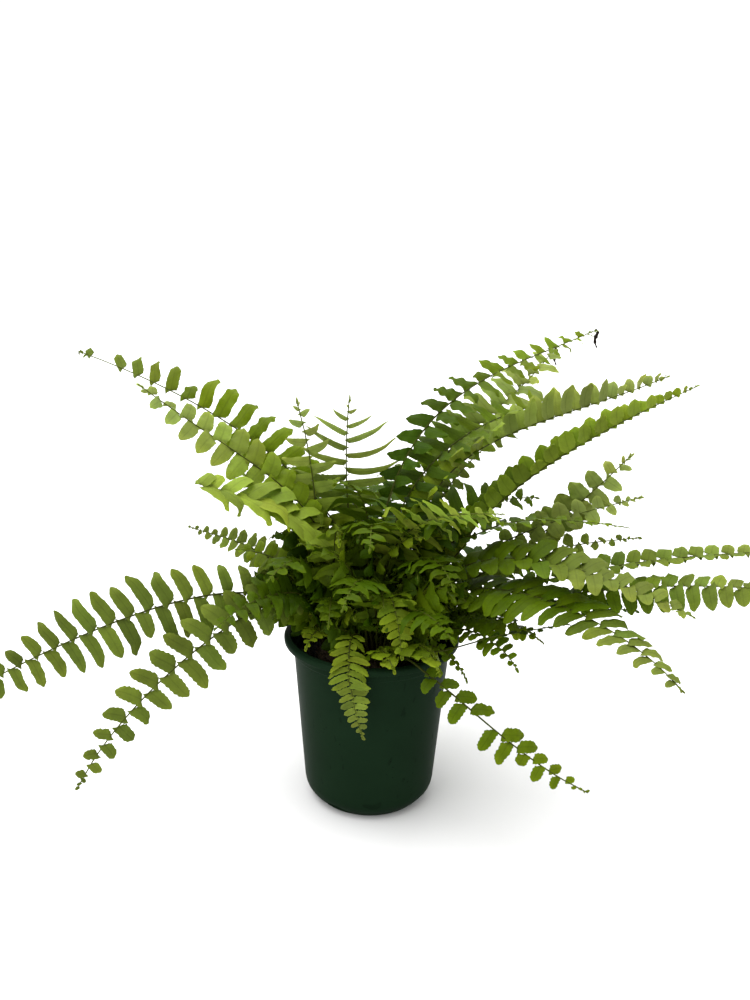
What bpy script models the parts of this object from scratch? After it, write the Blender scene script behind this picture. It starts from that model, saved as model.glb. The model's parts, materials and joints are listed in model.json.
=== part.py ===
"""Potted Boston fern: a round nursery pot, its soil, the plant's crowns and their fronds.

Everything is in metres with +Z up. The origin is the middle of the pot's underside.
A frond is one closed solid: a thin stem with a row of wedge-shaped leaflets on each side.
Azimuth 0 points along +X and 90 along +Y, counted anticlockwise seen from above.
"""

import math

import bpy
from mathutils import Matrix, Vector
from mathutils.bvhtree import BVHTree
from mathutils.kdtree import KDTree

MM = 0.001                  # the frond table is in millimetres
TINY = 1e-9                 # shorter than this is no length at all
SMOOTH_LIMIT = 35.0         # degrees between faces that are still shaded as one surface

# ---------------------------------------------------------------- pot
POT_HEIGHT = 0.130
RIM_RADIUS = 0.065          # outside of the lip
LIP_WIDTH = 0.0054          # from the lip's outside to the mouth
LIP_HEIGHT = 0.005
LIP_OVERHANG = 0.0052       # how far the lip stands out from the band below it
COLLAR_DEPTH = 0.0065       # straight band under the lip
COLLAR_STEP = 0.0012        # the wall steps in under the band
BASE_RADIUS = 0.0482        # the wall's outside, carried down to the ground
CORNER_RADIUS = 0.009       # round the bottom edge
WALL = 0.0016
FLOOR_THICKNESS = 0.0022
DRAIN_COUNT = 4             # arched drain openings in the bottom edge
DRAIN_WIDTH = 0.020
DRAIN_HEIGHT = 0.0080
DRAIN_DEPTH = 0.008         # how far in from the wall an opening cuts
DRAIN_AZIMUTH = 57.0        # of the first opening
DRAIN_ARCH_STEPS = 6
POT_SIDES = 44
CORNER_STEPS = 5            # straight pieces in the round bottom edge, and in the lip
LIP_STEPS = 6
INNER_CORNER = (-12.0, -60.0)   # where the round edge begins and ends inside, in degrees
INNER_CORNER_STEPS = 3

# ---------------------------------------------------------------- soil and crowns
SOIL_DEPTH_BELOW_RIM = 0.018
GAP = 0.0003                # free space between pieces that rest on each other
SOIL_SIDES = 28
CROWN_SIDES = 14
CROWN_RINGS = (0.72, 0.38)  # where the dome's rings lie, as shares of its radius
CROWN_SPACING = 0.001       # between the middle crown and the ones round it
CENTRE_CROWN = "centre"
# name: (azimuth round the middle crown, radius, height)
CROWNS = {
    "centre": (0.0, 0.0140, 0.011),
    "left": (192.0, 0.0130, 0.010),
    "right": (8.0, 0.0120, 0.010),
    "back": (86.0, 0.0120, 0.010),
    "front": (278.0, 0.0120, 0.009),
}

# ---------------------------------------------------------------- stems
STEM_WIDTH = 0.0019         # across the frond, at the base
STEM_WIDTH_TIP = 0.0010
STEM_THICKNESS = 0.0015
STEM_THICKNESS_TIP = 0.0009
FOOT_SPACING = 0.0017       # free space between the feet of two stems on one crown
FOOT_LIMIT = 0.86           # feet stay inside this share of their crown's radius
FOOT_OUTERMOST = 0.85       # where a stem stands that climbs at the first of the next two slopes
FOOT_INNERMOST = 0.15       # and at the second
FOOT_CLIMBS = (45.0, 95.0)
FOOT_SINK = 0.6             # of the stem's width that a foot's slope raises it by
STEM_SPACING = 0.0075       # between the middles of two stems further up
HELD_LENGTH = 0.003         # the lowest stretch of a stem, which stays where it grows
HELD_SHARE = 0.3            # a point that is held more than this isn't moved off the pot
CROWDED_SPACING = 0.8       # of the feet's spacing, at the start of the crowded stretch
PUSH = 0.4                  # share of a missing distance that is made up in one round
CROWDED_LENGTH = 0.035      # the stretch over which the stems' spacing opens up
RIM_CLEARANCE = 0.0045
RIM_TOUCH = 0.0005          # the least free space between a stem and the rim
RIM_LIFT_LENGTH = 0.030     # how far along a stem it is raised where it meets the rim
LIFT_EXTRA = 1.3            # of the missing height, because the raised stretch is a curve
RIM_STEP = 0.002            # the most that a stem rises over the rim in one round
SOIL_CLEARANCE = 0.004
CROWN_CLEARANCE = 0.0024
BOW_SHAPE = 4.0             # makes the middle of a bowed stem swing out by the whole bow
PATH_POINTS = 40
PATH_EASE = 1.5             # packs a path's points towards the foot
FOOT_ROUNDS = 80
SPREAD_ROUNDS = 50
OPENINGS = (1.0, 1.0, 1.08, 1.16, 1.24, 1.32, 1.4)   # wider spacings, until all stems are clear
STIPE_STEP = 0.020          # longest straight piece of the bare stem
TIP_LENGTH = 0.004          # of the point in which a stem ends
FRAME_REACH = 0.015         # share of a stem over which its direction is taken
LEAST_BARE = 0.05           # share of a stem over which it rolls, at the least

# ---------------------------------------------------------------- leaflets
LEAF_SWEEP = 12.0           # degrees that the lowest leaflets lean towards the frond's tip
SWEEP_LOST = 0.4            # share of that lean that the last leaflets lose
LOWEST_SHARE = 0.62         # length of the lowest leaflets against the longest
FULL_LENGTH_FROM = 0.38     # share of the leafy stretch where they reach full length
SHORTER_FROM = 0.42         # and where they begin to shorten
TIP_SHARE = 0.20            # length of the last ones
TIP_FALL = 1.5              # how late they shorten
NARROWEST = 0.35            # width of the shortest leaflets against the widest
LEVEL_LIMIT = 0.15          # a frond steeper than this has no level direction of its own
SLOT_SHARE = 0.86           # the widest leaflet, as a share of its stretch of the stem
ROUNDEST_LEAF = 0.92        # width against length
LEAF_CLEARANCE = 0.0005     # free space on a leaflet's faces
OUTLINE_CLEARANCE = 0.0004  # and round its outline
ROOT_LEFT_OUT = (0.75, 0.55)    # shares of the near and far edges that neighbours may share
BLADE_HALF = 0.25           # of the stem's thickness, which a leaflet fills on each side
SMALLEST_LEAF = 0.0034
LOWEST_LEAF = 0.002         # above the ground
SHOULDER_NEAR = 0.40        # where the two sides of the outline turn, as shares of the length
SHOULDER_FAR = 0.66
STEEPEST_FOLD = 68.0        # a leaflet never folds further than this from its frond
LEAST_OPEN = 0.3            # and its faces never turn further from the stem's than this cosine
BLADE_TURNS = (1.0, 0.75, 0.5, 0.25, 0.0)   # shares of "level" that are tried
LIFTS = (0.0, 11.0, -11.0, 22.0, -22.0, 34.0, -34.0, 48.0, -48.0)
SWINGS = (0.0, 10.0, -10.0, 22.0, -22.0)
SHARES = (1.0, 0.86, 0.72, 0.56, 0.42, 0.30)
LIFT_COST = 1.0 / 11.0
SWING_COST = 1.0 / 9.0
SHORTER_COST = 7.0

# Each frond: name, crown, azimuth, reach, rise of its tip above the soil, then
#   climb   slope of the stem where it leaves the crown, in degrees
#   fall    slope of the stem at its tip
#   start   length of the first half's pull, as a share of the straight distance
#   end     length of the second half's pull
#   bow     how far the middle swings to the frond's left
#   pairs   leaflets on each side
#   leaf    length of the longest leaflet
#   wide    width of the longest leaflet
#   bare    share of the stem without leaflets
#   roll    turn of the frond about its stem: plus raises its left side
#   cup     fold of both sides upwards
#   level   0 keeps the blades along the stem, 1 turns them flat to the ground
DEFAULTS = dict(
    climb=80, fall=0, start=0.4, end=0.4, bow=0, pairs=12, leaf=24, wide=9,
    bare=0.25, roll=0, cup=8, level=0.5,
)


def frond(name, crown, azimuth, reach, rise, **more):
    """One row of the table below, with lengths still in millimetres."""
    row = dict(DEFAULTS, name=name, crown=crown, azimuth=azimuth, reach=reach, rise=rise)
    row.update(more)
    return row


FRONDS = (
    # long fronds on the left
    frond("frond_left_1", "centre", 160, 240, 208, climb=91, fall=14, start=0.32, end=0.5,
          pairs=17, leaf=25, wide=10, bare=0.24, roll=-42, level=0.2),
    frond("frond_left_2", "left", 185, 130, 200, climb=92, fall=38, start=0.5, end=0.5,
          pairs=11, leaf=22, wide=12, bare=0.36, roll=-38, cup=0, level=0.2),
    frond("frond_left_3", "left", 210, 98, 144, climb=93, fall=20, start=0.4, end=0.45,
          pairs=11, leaf=33, wide=10, bare=0.22, roll=-25, cup=-12, level=0.3),
    frond("frond_left_4", "left", 150, 132, 76, climb=75, fall=8, start=0.55, end=0.2,
          pairs=14, leaf=13, wide=8, bare=0.2, roll=-52, level=0.1),
    frond("frond_left_5", "left", 192, 285, -22, climb=75, fall=-30, start=0.38, end=0.4,
          bow=8, pairs=19, leaf=27, wide=9, bare=0.16, roll=-76, cup=4, level=0.0),
    frond("frond_left_6", "left", 207, 188, -57, climb=93, fall=-62, start=0.5, end=0.4,
          pairs=13, leaf=22, wide=10.5, bare=0.22, roll=-68, cup=2, level=0.0),
    frond("frond_left_7", "left", 170, 70, 78, climb=85, fall=0, start=0.45,
          pairs=8, leaf=22, wide=8.5, bare=0.3, roll=-30),
    # upright ones in the middle
    frond("frond_top_1", "centre", 135, 28, 184, climb=76, fall=96, start=0.45, end=0.35,
          pairs=11, leaf=33, wide=7, bare=0.3, roll=-45, cup=12, level=0.95),
    frond("frond_top_2", "left", 137, 39, 182, climb=80, fall=66, start=0.45, end=0.3,
          pairs=9, leaf=20, wide=9, bare=0.3, roll=-45, level=0.5),
    # high fronds on the right
    frond("frond_right_1", "centre", 38, 222, 226, climb=93, fall=14, start=0.62, end=0.42,
          pairs=16, leaf=25, wide=10, bare=0.3, roll=12, cup=28, level=0.6),
    frond("frond_right_2", "back", 44, 205, 205, climb=91, fall=38, start=0.5, end=0.4,
          pairs=13, leaf=24, wide=12, bare=0.32, roll=25, cup=10, level=0.2),
    frond("frond_right_3", "centre", 28, 182, 182, climb=93, fall=2, start=0.5, end=0.5,
          pairs=14, leaf=31, wide=8.5, bare=0.28, roll=22, cup=10, level=0.3),
    frond("frond_right_4", "right", 14, 190, 203, climb=93, fall=20, start=0.6, end=0.48,
          pairs=16, leaf=27, wide=11, bare=0.24, roll=5, cup=48, level=0.1),
    frond("frond_right_5", "right", 2, 194, 203, climb=80, fall=26, start=0.35, end=0.45,
          pairs=17, leaf=18, wide=12, bare=0.22, roll=5, cup=48, level=0.1),
    frond("frond_right_6", "right", 50, 84, 140, climb=88, fall=20, start=0.5,
          pairs=7, leaf=10, wide=8, bare=0.5, roll=30, cup=0, level=0.1),
    frond("frond_right_7", "right", 14, 166, 142, climb=66, fall=44, start=0.2, end=0.5,
          pairs=6, leaf=15, wide=12.5, bare=0.55, roll=40, cup=10, level=0.0),
    frond("frond_right_8", "right", 8, 168, 117, climb=78, fall=14, start=0.4, end=0.3,
          pairs=7, leaf=13, wide=11.5, bare=0.48, roll=42, cup=5, level=0.0),
    frond("frond_right_9", "right", 358, 152, 104, climb=88, fall=-8, start=0.5, end=0.5,
          pairs=14, leaf=20, wide=8, bare=0.25, roll=-6, cup=4, level=0.6),
    # long and drooping fronds on the right
    frond("frond_right_10", "centre", 315, 112, 136, climb=93, fall=12, start=0.6, end=0.35,
          pairs=12, leaf=31, wide=8, bare=0.3, roll=-8, cup=6, level=0.4),
    frond("frond_right_11", "right", 352, 285, 101, climb=60, fall=4, start=0.22, end=0.4,
          pairs=22, leaf=15, wide=10.5, bare=0.2, roll=10, cup=20, level=0.2),
    frond("frond_right_12", "right", 344, 276, 82, climb=46, fall=-4, start=0.28, end=0.3,
          pairs=16, leaf=19, wide=12, bare=0.38, roll=30, cup=-20, level=0.1),
    frond("frond_right_13", "right", 338, 197, 66, climb=80, fall=-20, start=0.5, end=0.4,
          pairs=14, leaf=26, wide=11, bare=0.26, roll=14, cup=8, level=0.3),
    frond("frond_right_14", "right", 330, 200, 26, climb=84, fall=-42, start=0.42, end=0.4,
          pairs=17, leaf=29, wide=9, bare=0.2, roll=16, cup=0, level=0.2),
    frond("frond_right_15", "right", 356, 163, 42, climb=60, fall=-6, start=0.4,
          pairs=7, leaf=10, wide=8, bare=0.55, roll=35, level=0.1),
    frond("frond_right_16", "right", 316, 98, 24, climb=62, fall=-48, start=0.42, end=0.35,
          pairs=12, leaf=16, wide=6.5, bare=0.22, roll=18, level=0.2),
    frond("frond_right_17", "front", 333, 156, -50, climb=62, fall=-28, start=0.32, end=0.4,
          bow=-20, pairs=10, leaf=16.5, wide=11, bare=0.24, roll=40, cup=0, level=0.0),
    frond("frond_right_18", "front", 339, 66, 8, climb=62, fall=-64, start=0.5, end=0.4,
          pairs=7, leaf=6.5, wide=5, bare=0.45, roll=20, level=0.0),
    frond("frond_right_19", "right", 6, 168, 88, climb=70, fall=4, start=0.4, end=0.3,
          pairs=10, leaf=12, wide=7.5, bare=0.3, roll=48, cup=0, level=0.0),
    # fronds that hang over the front of the pot
    frond("frond_front_1", "front", 259, 49, -24, climb=84, fall=-86, start=1.0, end=0.95,
          bow=-13, pairs=15, leaf=15, wide=5.6, bare=0.3, roll=0, cup=-6, level=0.0),
    frond("frond_front_2", "front", 292, 44, 33, climb=91, fall=-72, start=1.5, end=0.9,
          bow=0, pairs=13, leaf=18, wide=5.8, bare=0.3, roll=0, cup=10, level=0.0),
    frond("frond_front_3", "left", 246, 42, 27, climb=78, fall=-40, start=0.6,
          pairs=8, leaf=13, wide=5.5, bare=0.2, roll=0, cup=0, level=0.1),
    # the thick middle of the plant, leaning forward
    frond("frond_middle_1", "left", 232, 66, 82, climb=90, fall=-30, start=0.7,
          pairs=9, leaf=28, wide=9, bare=0.32, roll=0, cup=-4, level=0.2),
    frond("frond_middle_2", "front", 248, 60, 72, climb=90, fall=-42, start=0.8,
          pairs=9, leaf=25, wide=8.5, bare=0.32, cup=-4, level=0.2),
    frond("frond_middle_3", "centre", 268, 66, 108, climb=91, fall=-34, start=0.7,
          pairs=9, leaf=27, wide=8.5, bare=0.36, cup=-2, level=0.2),
    frond("frond_middle_4", "front", 312, 72, 50, climb=86, fall=-38, start=0.7,
          pairs=10, leaf=24, wide=8, bare=0.28, cup=-2, level=0.2),
    frond("frond_middle_5", "right", 290, 74, 82, climb=91, fall=-34, start=0.7,
          pairs=10, leaf=26, wide=8.5, bare=0.32, cup=-2, level=0.2),
    frond("frond_middle_6", "left", 214, 92, 46, climb=86, fall=-36, start=0.6,
          pairs=10, leaf=21, wide=8, bare=0.28, roll=-20, level=0.2),
    frond("frond_middle_7", "centre", 236, 50, 146, climb=91, fall=14, start=0.5,
          pairs=8, leaf=26, wide=8, bare=0.42, cup=0, level=0.5),
    frond("frond_middle_8", "centre", 338, 98, 116, climb=91, fall=-6, start=0.6,
          pairs=9, leaf=27, wide=9, bare=0.34, cup=6, level=0.4),
    frond("frond_middle_9", "centre", 10, 118, 118, climb=88, fall=-2, start=0.5,
          pairs=10, leaf=26, wide=8.5, bare=0.34, roll=35, cup=10, level=0.2),
    frond("frond_middle_10", "left", 268, 52, 50, climb=86, fall=-46, start=0.8,
          pairs=9, leaf=19, wide=7, bare=0.25, level=0.1),
    frond("frond_middle_11", "front", 276, 34, 66, climb=88, fall=-30, start=0.7,
          pairs=8, leaf=19, wide=7, bare=0.28, level=0.2),
    frond("frond_middle_12", "right", 312, 58, 58, climb=86, fall=-40, start=0.7,
          pairs=9, leaf=20, wide=7.5, bare=0.26, roll=10, level=0.1),
    # fronds at the back, all round
    frond("frond_back_1", "back", 92, 186, 74, climb=88, fall=-18, start=0.5,
          pairs=13, leaf=28, wide=9, bare=0.24),
    frond("frond_back_2", "back", 118, 168, 96, climb=90, fall=-5, start=0.5,
          pairs=12, leaf=26, wide=9, bare=0.26),
    frond("frond_back_3", "back", 66, 192, 36, climb=84, fall=-32, start=0.5,
          pairs=13, leaf=27, wide=10, bare=0.24),
    frond("frond_back_4", "left", 126, 128, 36, climb=86, fall=-32, start=0.48,
          pairs=11, leaf=24, wide=9, bare=0.24, roll=-15),
    frond("frond_back_5", "back", 78, 118, 112, climb=94, fall=6, start=0.55,
          pairs=9, leaf=26, wide=9, bare=0.34),
    frond("frond_back_6", "back", 104, 112, -24, climb=72, fall=-58, start=0.6, end=0.45,
          pairs=12, leaf=20, wide=8, bare=0.24),
    frond("frond_back_7", "right", 34, 158, 34, climb=78, fall=-26, start=0.5,
          pairs=12, leaf=24, wide=9, bare=0.26, roll=12),
    frond("frond_back_8", "back", 134, 104, 24, climb=78, fall=-40, start=0.55,
          pairs=10, leaf=19, wide=7.5, bare=0.26),
    frond("frond_back_9", "back", 52, 110, 4, climb=72, fall=-46, start=0.5,
          pairs=10, leaf=18, wide=7.5, bare=0.26),
    # a runner: a bare stem with a few tiny leaflets
    frond("runner", "front", 352, 130, 46, climb=34, fall=2, start=0.3, end=0.4,
          bow=-17, pairs=5, leaf=6.5, wide=5, bare=0.5, roll=0, cup=0, level=0.0),
)

# ---------------------------------------------------------------- materials
# name: (colour, roughness)
MATERIALS = {
    "pot_plastic": ((0.012, 0.035, 0.024), 0.42),
    "soil": ((0.014, 0.010, 0.008), 0.95),
    "crown": ((0.060, 0.045, 0.020), 0.85),
    "leaf_bright": ((0.270, 0.420, 0.040), 0.50),
    "leaf_mid": ((0.110, 0.250, 0.030), 0.50),
    "leaf_dark": ((0.045, 0.130, 0.020), 0.50),
}
BRIGHT = ("frond_left_3", "frond_right_10", "frond_right_13", "frond_front_1", "frond_front_3")
DARK = ("frond_middle_9", "frond_right_9", "frond_right_15", "frond_right_18", "runner")


# ---------------------------------------------------------------- general helpers
def clear_scene():
    """Remove every object that the file opened with."""
    for thing in list(bpy.data.objects):
        bpy.data.objects.remove(thing, do_unlink=True)


def make_materials():
    """The plain materials, by name."""
    made = {}
    for name, (colour, roughness) in MATERIALS.items():
        material = bpy.data.materials.new(name)
        material.use_nodes = True
        shader = material.node_tree.nodes["Principled BSDF"]
        shader.inputs["Base Color"].default_value = (*colour, 1.0)
        shader.inputs["Roughness"].default_value = roughness
        shader.inputs["Metallic"].default_value = 0.0
        made[name] = material
    return made


def add_object(name, points, faces, material, smooth=False):
    """A mesh object from points and faces, linked to the scene."""
    mesh = bpy.data.meshes.new(name)
    mesh.from_pydata([tuple(p) for p in points], [], faces)
    mesh.materials.append(material)
    if smooth:
        mesh.shade_smooth()
        mesh.set_sharp_from_angle(angle=math.radians(SMOOTH_LIMIT))
    made = bpy.data.objects.new(name, mesh)
    bpy.context.scene.collection.objects.link(made)
    return made


def lathe(profile, sides):
    """Turn a closed profile of (radius, height) points about Z.

    The profile runs anticlockwise in the (radius, height) plane, and starts and ends on the axis.
    """
    points = []
    faces = []
    rings = []
    for radius, height in profile:
        if radius < TINY:
            rings.append([len(points)])
            points.append(Vector((0.0, 0.0, height)))
            continue
        rings.append(list(range(len(points), len(points) + sides)))
        for step in range(sides):
            angle = 2.0 * math.pi * step / sides
            points.append(Vector((radius * math.cos(angle), radius * math.sin(angle), height)))
    for low, high in zip(rings, rings[1:]):
        for step in range(sides):
            after = (step + 1) % sides
            if len(low) == 1:
                faces.append((low[0], high[after], high[step]))
            elif len(high) == 1:
                faces.append((low[step], low[after], high[0]))
            else:
                faces.append((low[step], low[after], high[after], high[step]))
    return points, faces


def arc(centre, radius, first, last, steps):
    """Points on an arc in the (radius, height) plane; the angles are in degrees."""
    points = []
    for step in range(steps + 1):
        angle = math.radians(first + (last - first) * step / steps)
        points.append((centre[0] + radius * math.cos(angle), centre[1] + radius * math.sin(angle)))
    return points


# ---------------------------------------------------------------- pot, soil, crowns
def soil_top():
    """Height of the soil's surface."""
    return POT_HEIGHT - SOIL_DEPTH_BELOW_RIM


def collar_bottom():
    """Height where the band under the lip begins."""
    return POT_HEIGHT - LIP_HEIGHT - COLLAR_DEPTH


def outer_radius(height):
    """Outside radius of the pot's sloping wall at a height."""
    top = RIM_RADIUS - LIP_OVERHANG - COLLAR_STEP
    return BASE_RADIUS + (top - BASE_RADIUS) * height / collar_bottom()


def inner_radius(height):
    """Inside radius of the pot's sloping wall."""
    return outer_radius(height) - WALL


def corner_centre():
    """Middle of the round bottom edge, in the (radius, height) plane."""
    return outer_radius(CORNER_RADIUS) - CORNER_RADIUS, CORNER_RADIUS


def pot_profile():
    """Outline of the pot's wall, from the middle of the underside round to the inside."""
    corner = corner_centre()
    band = collar_bottom()
    collar = RIM_RADIUS - LIP_OVERHANG
    mouth = RIM_RADIUS - LIP_WIDTH
    round_lip = LIP_HEIGHT / 2.0
    profile = [(0.0, 0.0)]
    profile += arc(corner, CORNER_RADIUS, -90.0, 0.0, CORNER_STEPS)
    profile += [
        (outer_radius(band), band),
        (collar, band + COLLAR_STEP),
        (collar, POT_HEIGHT - LIP_HEIGHT),
    ]
    lip = (RIM_RADIUS - round_lip, POT_HEIGHT - round_lip)
    profile += arc(lip, round_lip, -90.0, 90.0, LIP_STEPS)
    profile += [
        (mouth, POT_HEIGHT),
        (mouth, POT_HEIGHT - LIP_HEIGHT),
        (inner_radius(band), band),
        (inner_radius(CORNER_RADIUS), CORNER_RADIUS),
    ]
    profile += arc(corner, CORNER_RADIUS - WALL, *INNER_CORNER, INNER_CORNER_STEPS)
    profile += [(corner[0], FLOOR_THICKNESS), (0.0, FLOOR_THICKNESS)]
    return profile


def drain_cutter(azimuth, name, material):
    """An arched block that cuts one drain opening."""
    outside = outer_radius(CORNER_RADIUS)
    outline = [(-DRAIN_WIDTH / 2.0, -DRAIN_HEIGHT), (DRAIN_WIDTH / 2.0, -DRAIN_HEIGHT)]
    for step in range(DRAIN_ARCH_STEPS + 1):
        angle = math.pi * step / DRAIN_ARCH_STEPS
        outline.append((math.cos(angle) * DRAIN_WIDTH / 2.0, math.sin(angle) * DRAIN_HEIGHT))
    turn = Matrix.Rotation(math.radians(azimuth), 3, "Z")
    points = []
    for distance in (outside - DRAIN_DEPTH, outside + DRAIN_DEPTH):
        points += [turn @ Vector((distance, across, up)) for across, up in outline]
    count = len(outline)
    faces = [tuple(reversed(range(count))), tuple(range(count, 2 * count))]
    for step in range(count):
        after = (step + 1) % count
        faces.append((step, after, after + count, step + count))
    cutter = add_object(name, points, faces, material)
    cutter.hide_render = True
    cutter.display_type = "WIRE"
    return cutter


def build_pot(material):
    """The pot, with drain openings cut through its bottom edge."""
    points, faces = lathe(pot_profile(), POT_SIDES)
    pot = add_object("pot", points, faces, material, smooth=True)
    for number in range(DRAIN_COUNT):
        azimuth = DRAIN_AZIMUTH + 360.0 * number / DRAIN_COUNT
        cut = pot.modifiers.new("drain_%d" % number, "BOOLEAN")
        cut.operation = "DIFFERENCE"
        cut.solver = "EXACT"
        cut.object = drain_cutter(azimuth, "drain_cutter_%d" % number, material)
    return pot


def build_soil(material):
    """Soil that fills the pot up to a little below its rim."""
    flats = math.cos(math.pi / POT_SIDES)
    corner = corner_centre()
    bottom = FLOOR_THICKNESS + GAP
    top = soil_top()
    profile = [(0.0, bottom), (corner[0] * flats, bottom)]
    first, last = INNER_CORNER
    for radius, height in arc(corner, CORNER_RADIUS - WALL - GAP, last, first, INNER_CORNER_STEPS):
        profile.append((radius * flats - GAP, max(bottom + GAP, height)))
    profile += [
        (inner_radius(CORNER_RADIUS) * flats - GAP * 2.0, CORNER_RADIUS),
        (inner_radius(top) * flats - GAP, top),
        (0.0, top),
    ]
    points, faces = lathe(profile, SOIL_SIDES)
    return add_object("soil", points, faces, material)


def crown_place(crown):
    """Middle, radius and height of a crown; the others stand round the middle one."""
    azimuth, radius, height = CROWNS[crown]
    if crown == CENTRE_CROWN:
        return Vector((0.0, 0.0, 0.0)), radius, height
    distance = CROWNS[CENTRE_CROWN][1] + CROWN_SPACING + radius
    return heading(azimuth) * distance, radius, height


def dome_height(crown, point):
    """Height of a crown's surface above or below a point, or of the soil beside it."""
    middle, radius, height = crown_place(crown)
    share = math.hypot(point.x - middle.x, point.y - middle.y) / radius
    return soil_top() + GAP + height * max(0.0, 1.0 - share ** 2)


def build_crown(name, material):
    """A low dome of packed stem bases that sits on the soil."""
    middle, radius, height = crown_place(name)
    foot = soil_top() + GAP
    profile = [(0.0, foot), (radius, foot)]
    for share in CROWN_RINGS:
        profile.append((radius * share, foot + height * (1.0 - share ** 2)))
    profile.append((0.0, foot + height))
    points, faces = lathe(profile, CROWN_SIDES)
    return add_object("crown_" + name, [point + middle for point in points], faces, material)


# ---------------------------------------------------------------- stems
def heading(azimuth):
    """Level unit vector at an azimuth in degrees."""
    angle = math.radians(azimuth)
    return Vector((math.cos(angle), math.sin(angle), 0.0))


def foot_share(row):
    """How far out on its crown a stem stands: steep ones grow near the middle."""
    shallow, steep = FOOT_CLIMBS
    steepness = (row["climb"] - shallow) / (steep - shallow)
    share = FOOT_OUTERMOST - (FOOT_OUTERMOST - FOOT_INNERMOST) * steepness
    return max(FOOT_INNERMOST, min(FOOT_OUTERMOST, share))


def place_feet():
    """Where each stem stands on its crown."""
    feet = {}
    spacing = STEM_WIDTH + FOOT_SPACING
    for crown in CROWNS:
        middle, radius, height = crown_place(crown)
        rows = [row for row in FRONDS if row["crown"] == crown]
        spots = [heading(row["azimuth"]) * radius * foot_share(row) for row in rows]
        for _ in range(FOOT_ROUNDS):
            for one in range(len(spots)):
                for other in range(one):
                    apart = spots[one] - spots[other]
                    if apart.length < spacing:
                        way = apart.normalized() if apart.length > TINY else Vector((1, 0, 0))
                        push = way * (spacing - apart.length) / 2.0
                        spots[one] += push
                        spots[other] -= push
            for spot in spots:
                if spot.length > radius * FOOT_LIMIT:
                    spot.length = radius * FOOT_LIMIT
        for row, spot in zip(rows, spots):
            foot = middle + spot
            slope = 2.0 * height * (spot.length + STEM_WIDTH / 2.0) / radius ** 2
            lean = abs(math.cos(math.radians(row["climb"])))
            lift = GAP + slope * STEM_WIDTH * FOOT_SINK + lean * STEM_THICKNESS / 2.0
            foot.z = dome_height(crown, foot) + lift
            feet[row["name"]] = foot
    return feet


def first_path(row, foot):
    """The arch that a stem would follow if it grew alone."""
    out = heading(row["azimuth"])
    left = heading(row["azimuth"] + 90.0)
    up = Vector((0.0, 0.0, 1.0))
    middle = crown_place(row["crown"])[0]
    middle.z = soil_top()
    tip = middle + out * row["reach"] * MM + up * row["rise"] * MM
    distance = (tip - foot).length
    climb = math.radians(row["climb"])
    fall = math.radians(row["fall"])
    one = foot + (out * math.cos(climb) + up * math.sin(climb)) * distance * row["start"]
    two = tip - (out * math.cos(fall) + up * math.sin(fall)) * distance * row["end"]
    path = []
    for step in range(PATH_POINTS):
        t = (step / (PATH_POINTS - 1)) ** PATH_EASE
        s = 1.0 - t
        point = foot * s ** 3 + one * 3 * s * s * t + two * 3 * s * t * t + tip * t ** 3
        path.append(point + left * row["bow"] * MM * BOW_SHAPE * s * t)
    return path


def keep_off_pot(point):
    """Move a stem's point clear of the rim, the wall, the soil and the crowns."""
    radius = math.hypot(point.x, point.y)
    mouth = RIM_RADIUS - LIP_WIDTH
    over_rim = POT_HEIGHT + RIM_CLEARANCE
    if point.z < over_rim:
        middle = (mouth + RIM_RADIUS) / 2.0
        if mouth - RIM_CLEARANCE < radius < middle:
            point.z += min(over_rim - point.z, RIM_STEP)
        elif middle <= radius < RIM_RADIUS + RIM_CLEARANCE:
            wanted = RIM_RADIUS + RIM_CLEARANCE
            if over_rim - point.z < wanted - radius:
                point.z = over_rim
            else:
                point.x *= wanted / radius
                point.y *= wanted / radius
    if radius < mouth:
        floor = soil_top() + SOIL_CLEARANCE
        for name in CROWNS:
            middle, size, _ = crown_place(name)
            if math.hypot(point.x - middle.x, point.y - middle.y) < size:
                floor = max(floor, dome_height(name, point) + CROWN_CLEARANCE)
        point.z = max(point.z, floor)


def smooth_step(share):
    """Ease from 0 to 1, held at both ends."""
    share = max(0.0, min(1.0, share))
    return share * share * (3.0 - 2.0 * share)


def spread_stems(paths, opening):
    """Push the stems apart where they come too close, without moving their feet.

    The opening multiplies the spacing that the stems are given.
    """
    names = list(paths)
    flat = [(name, step) for name in names for step in range(PATH_POINTS)]
    free = {}
    room = {}
    for name in names:
        path = paths[name]
        free[name] = []
        room[name] = []
        for point in path:
            away = (point - path[0]).length
            free[name].append(smooth_step(away / HELD_LENGTH))
            opened = smooth_step(away / CROWDED_LENGTH)
            near_foot = STEM_WIDTH + FOOT_SPACING * CROWDED_SPACING
            room[name].append((near_foot + (STEM_SPACING - near_foot) * opened) * opening)
    for _ in range(SPREAD_ROUNDS):
        tree = KDTree(len(flat))
        for index, (name, step) in enumerate(flat):
            tree.insert(paths[name][step], index)
        tree.balance()
        moves = {name: [Vector() for _ in range(PATH_POINTS)] for name in names}
        for name, step in flat:
            path = paths[name]
            here = path[step]
            along = path[min(PATH_POINTS - 1, step + 1)] - path[max(0, step - 1)]
            along.normalize()
            for there, index, _ in tree.find_range(here, STEM_SPACING * opening):
                other, place = flat[index]
                if other == name:
                    continue
                wanted = min(room[name][step], room[other][place])
                away = here - there
                away -= along * away.dot(along)
                apart = away.length
                if TINY < apart < wanted:
                    moves[name][step] += away / apart * (wanted - apart) * PUSH
        for name in names:
            shift = moves[name]
            for _ in range(2):
                shift = [
                    (shift[max(0, k - 1)] + shift[k] * 2.0 + shift[min(PATH_POINTS - 1, k + 1)]) / 4.0
                    for k in range(PATH_POINTS)
                ]
            for step in range(1, PATH_POINTS):
                paths[name][step] += shift[step] * free[name][step]
                if free[name][step] > HELD_SHARE:
                    keep_off_pot(paths[name][step])
    return paths


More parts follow.
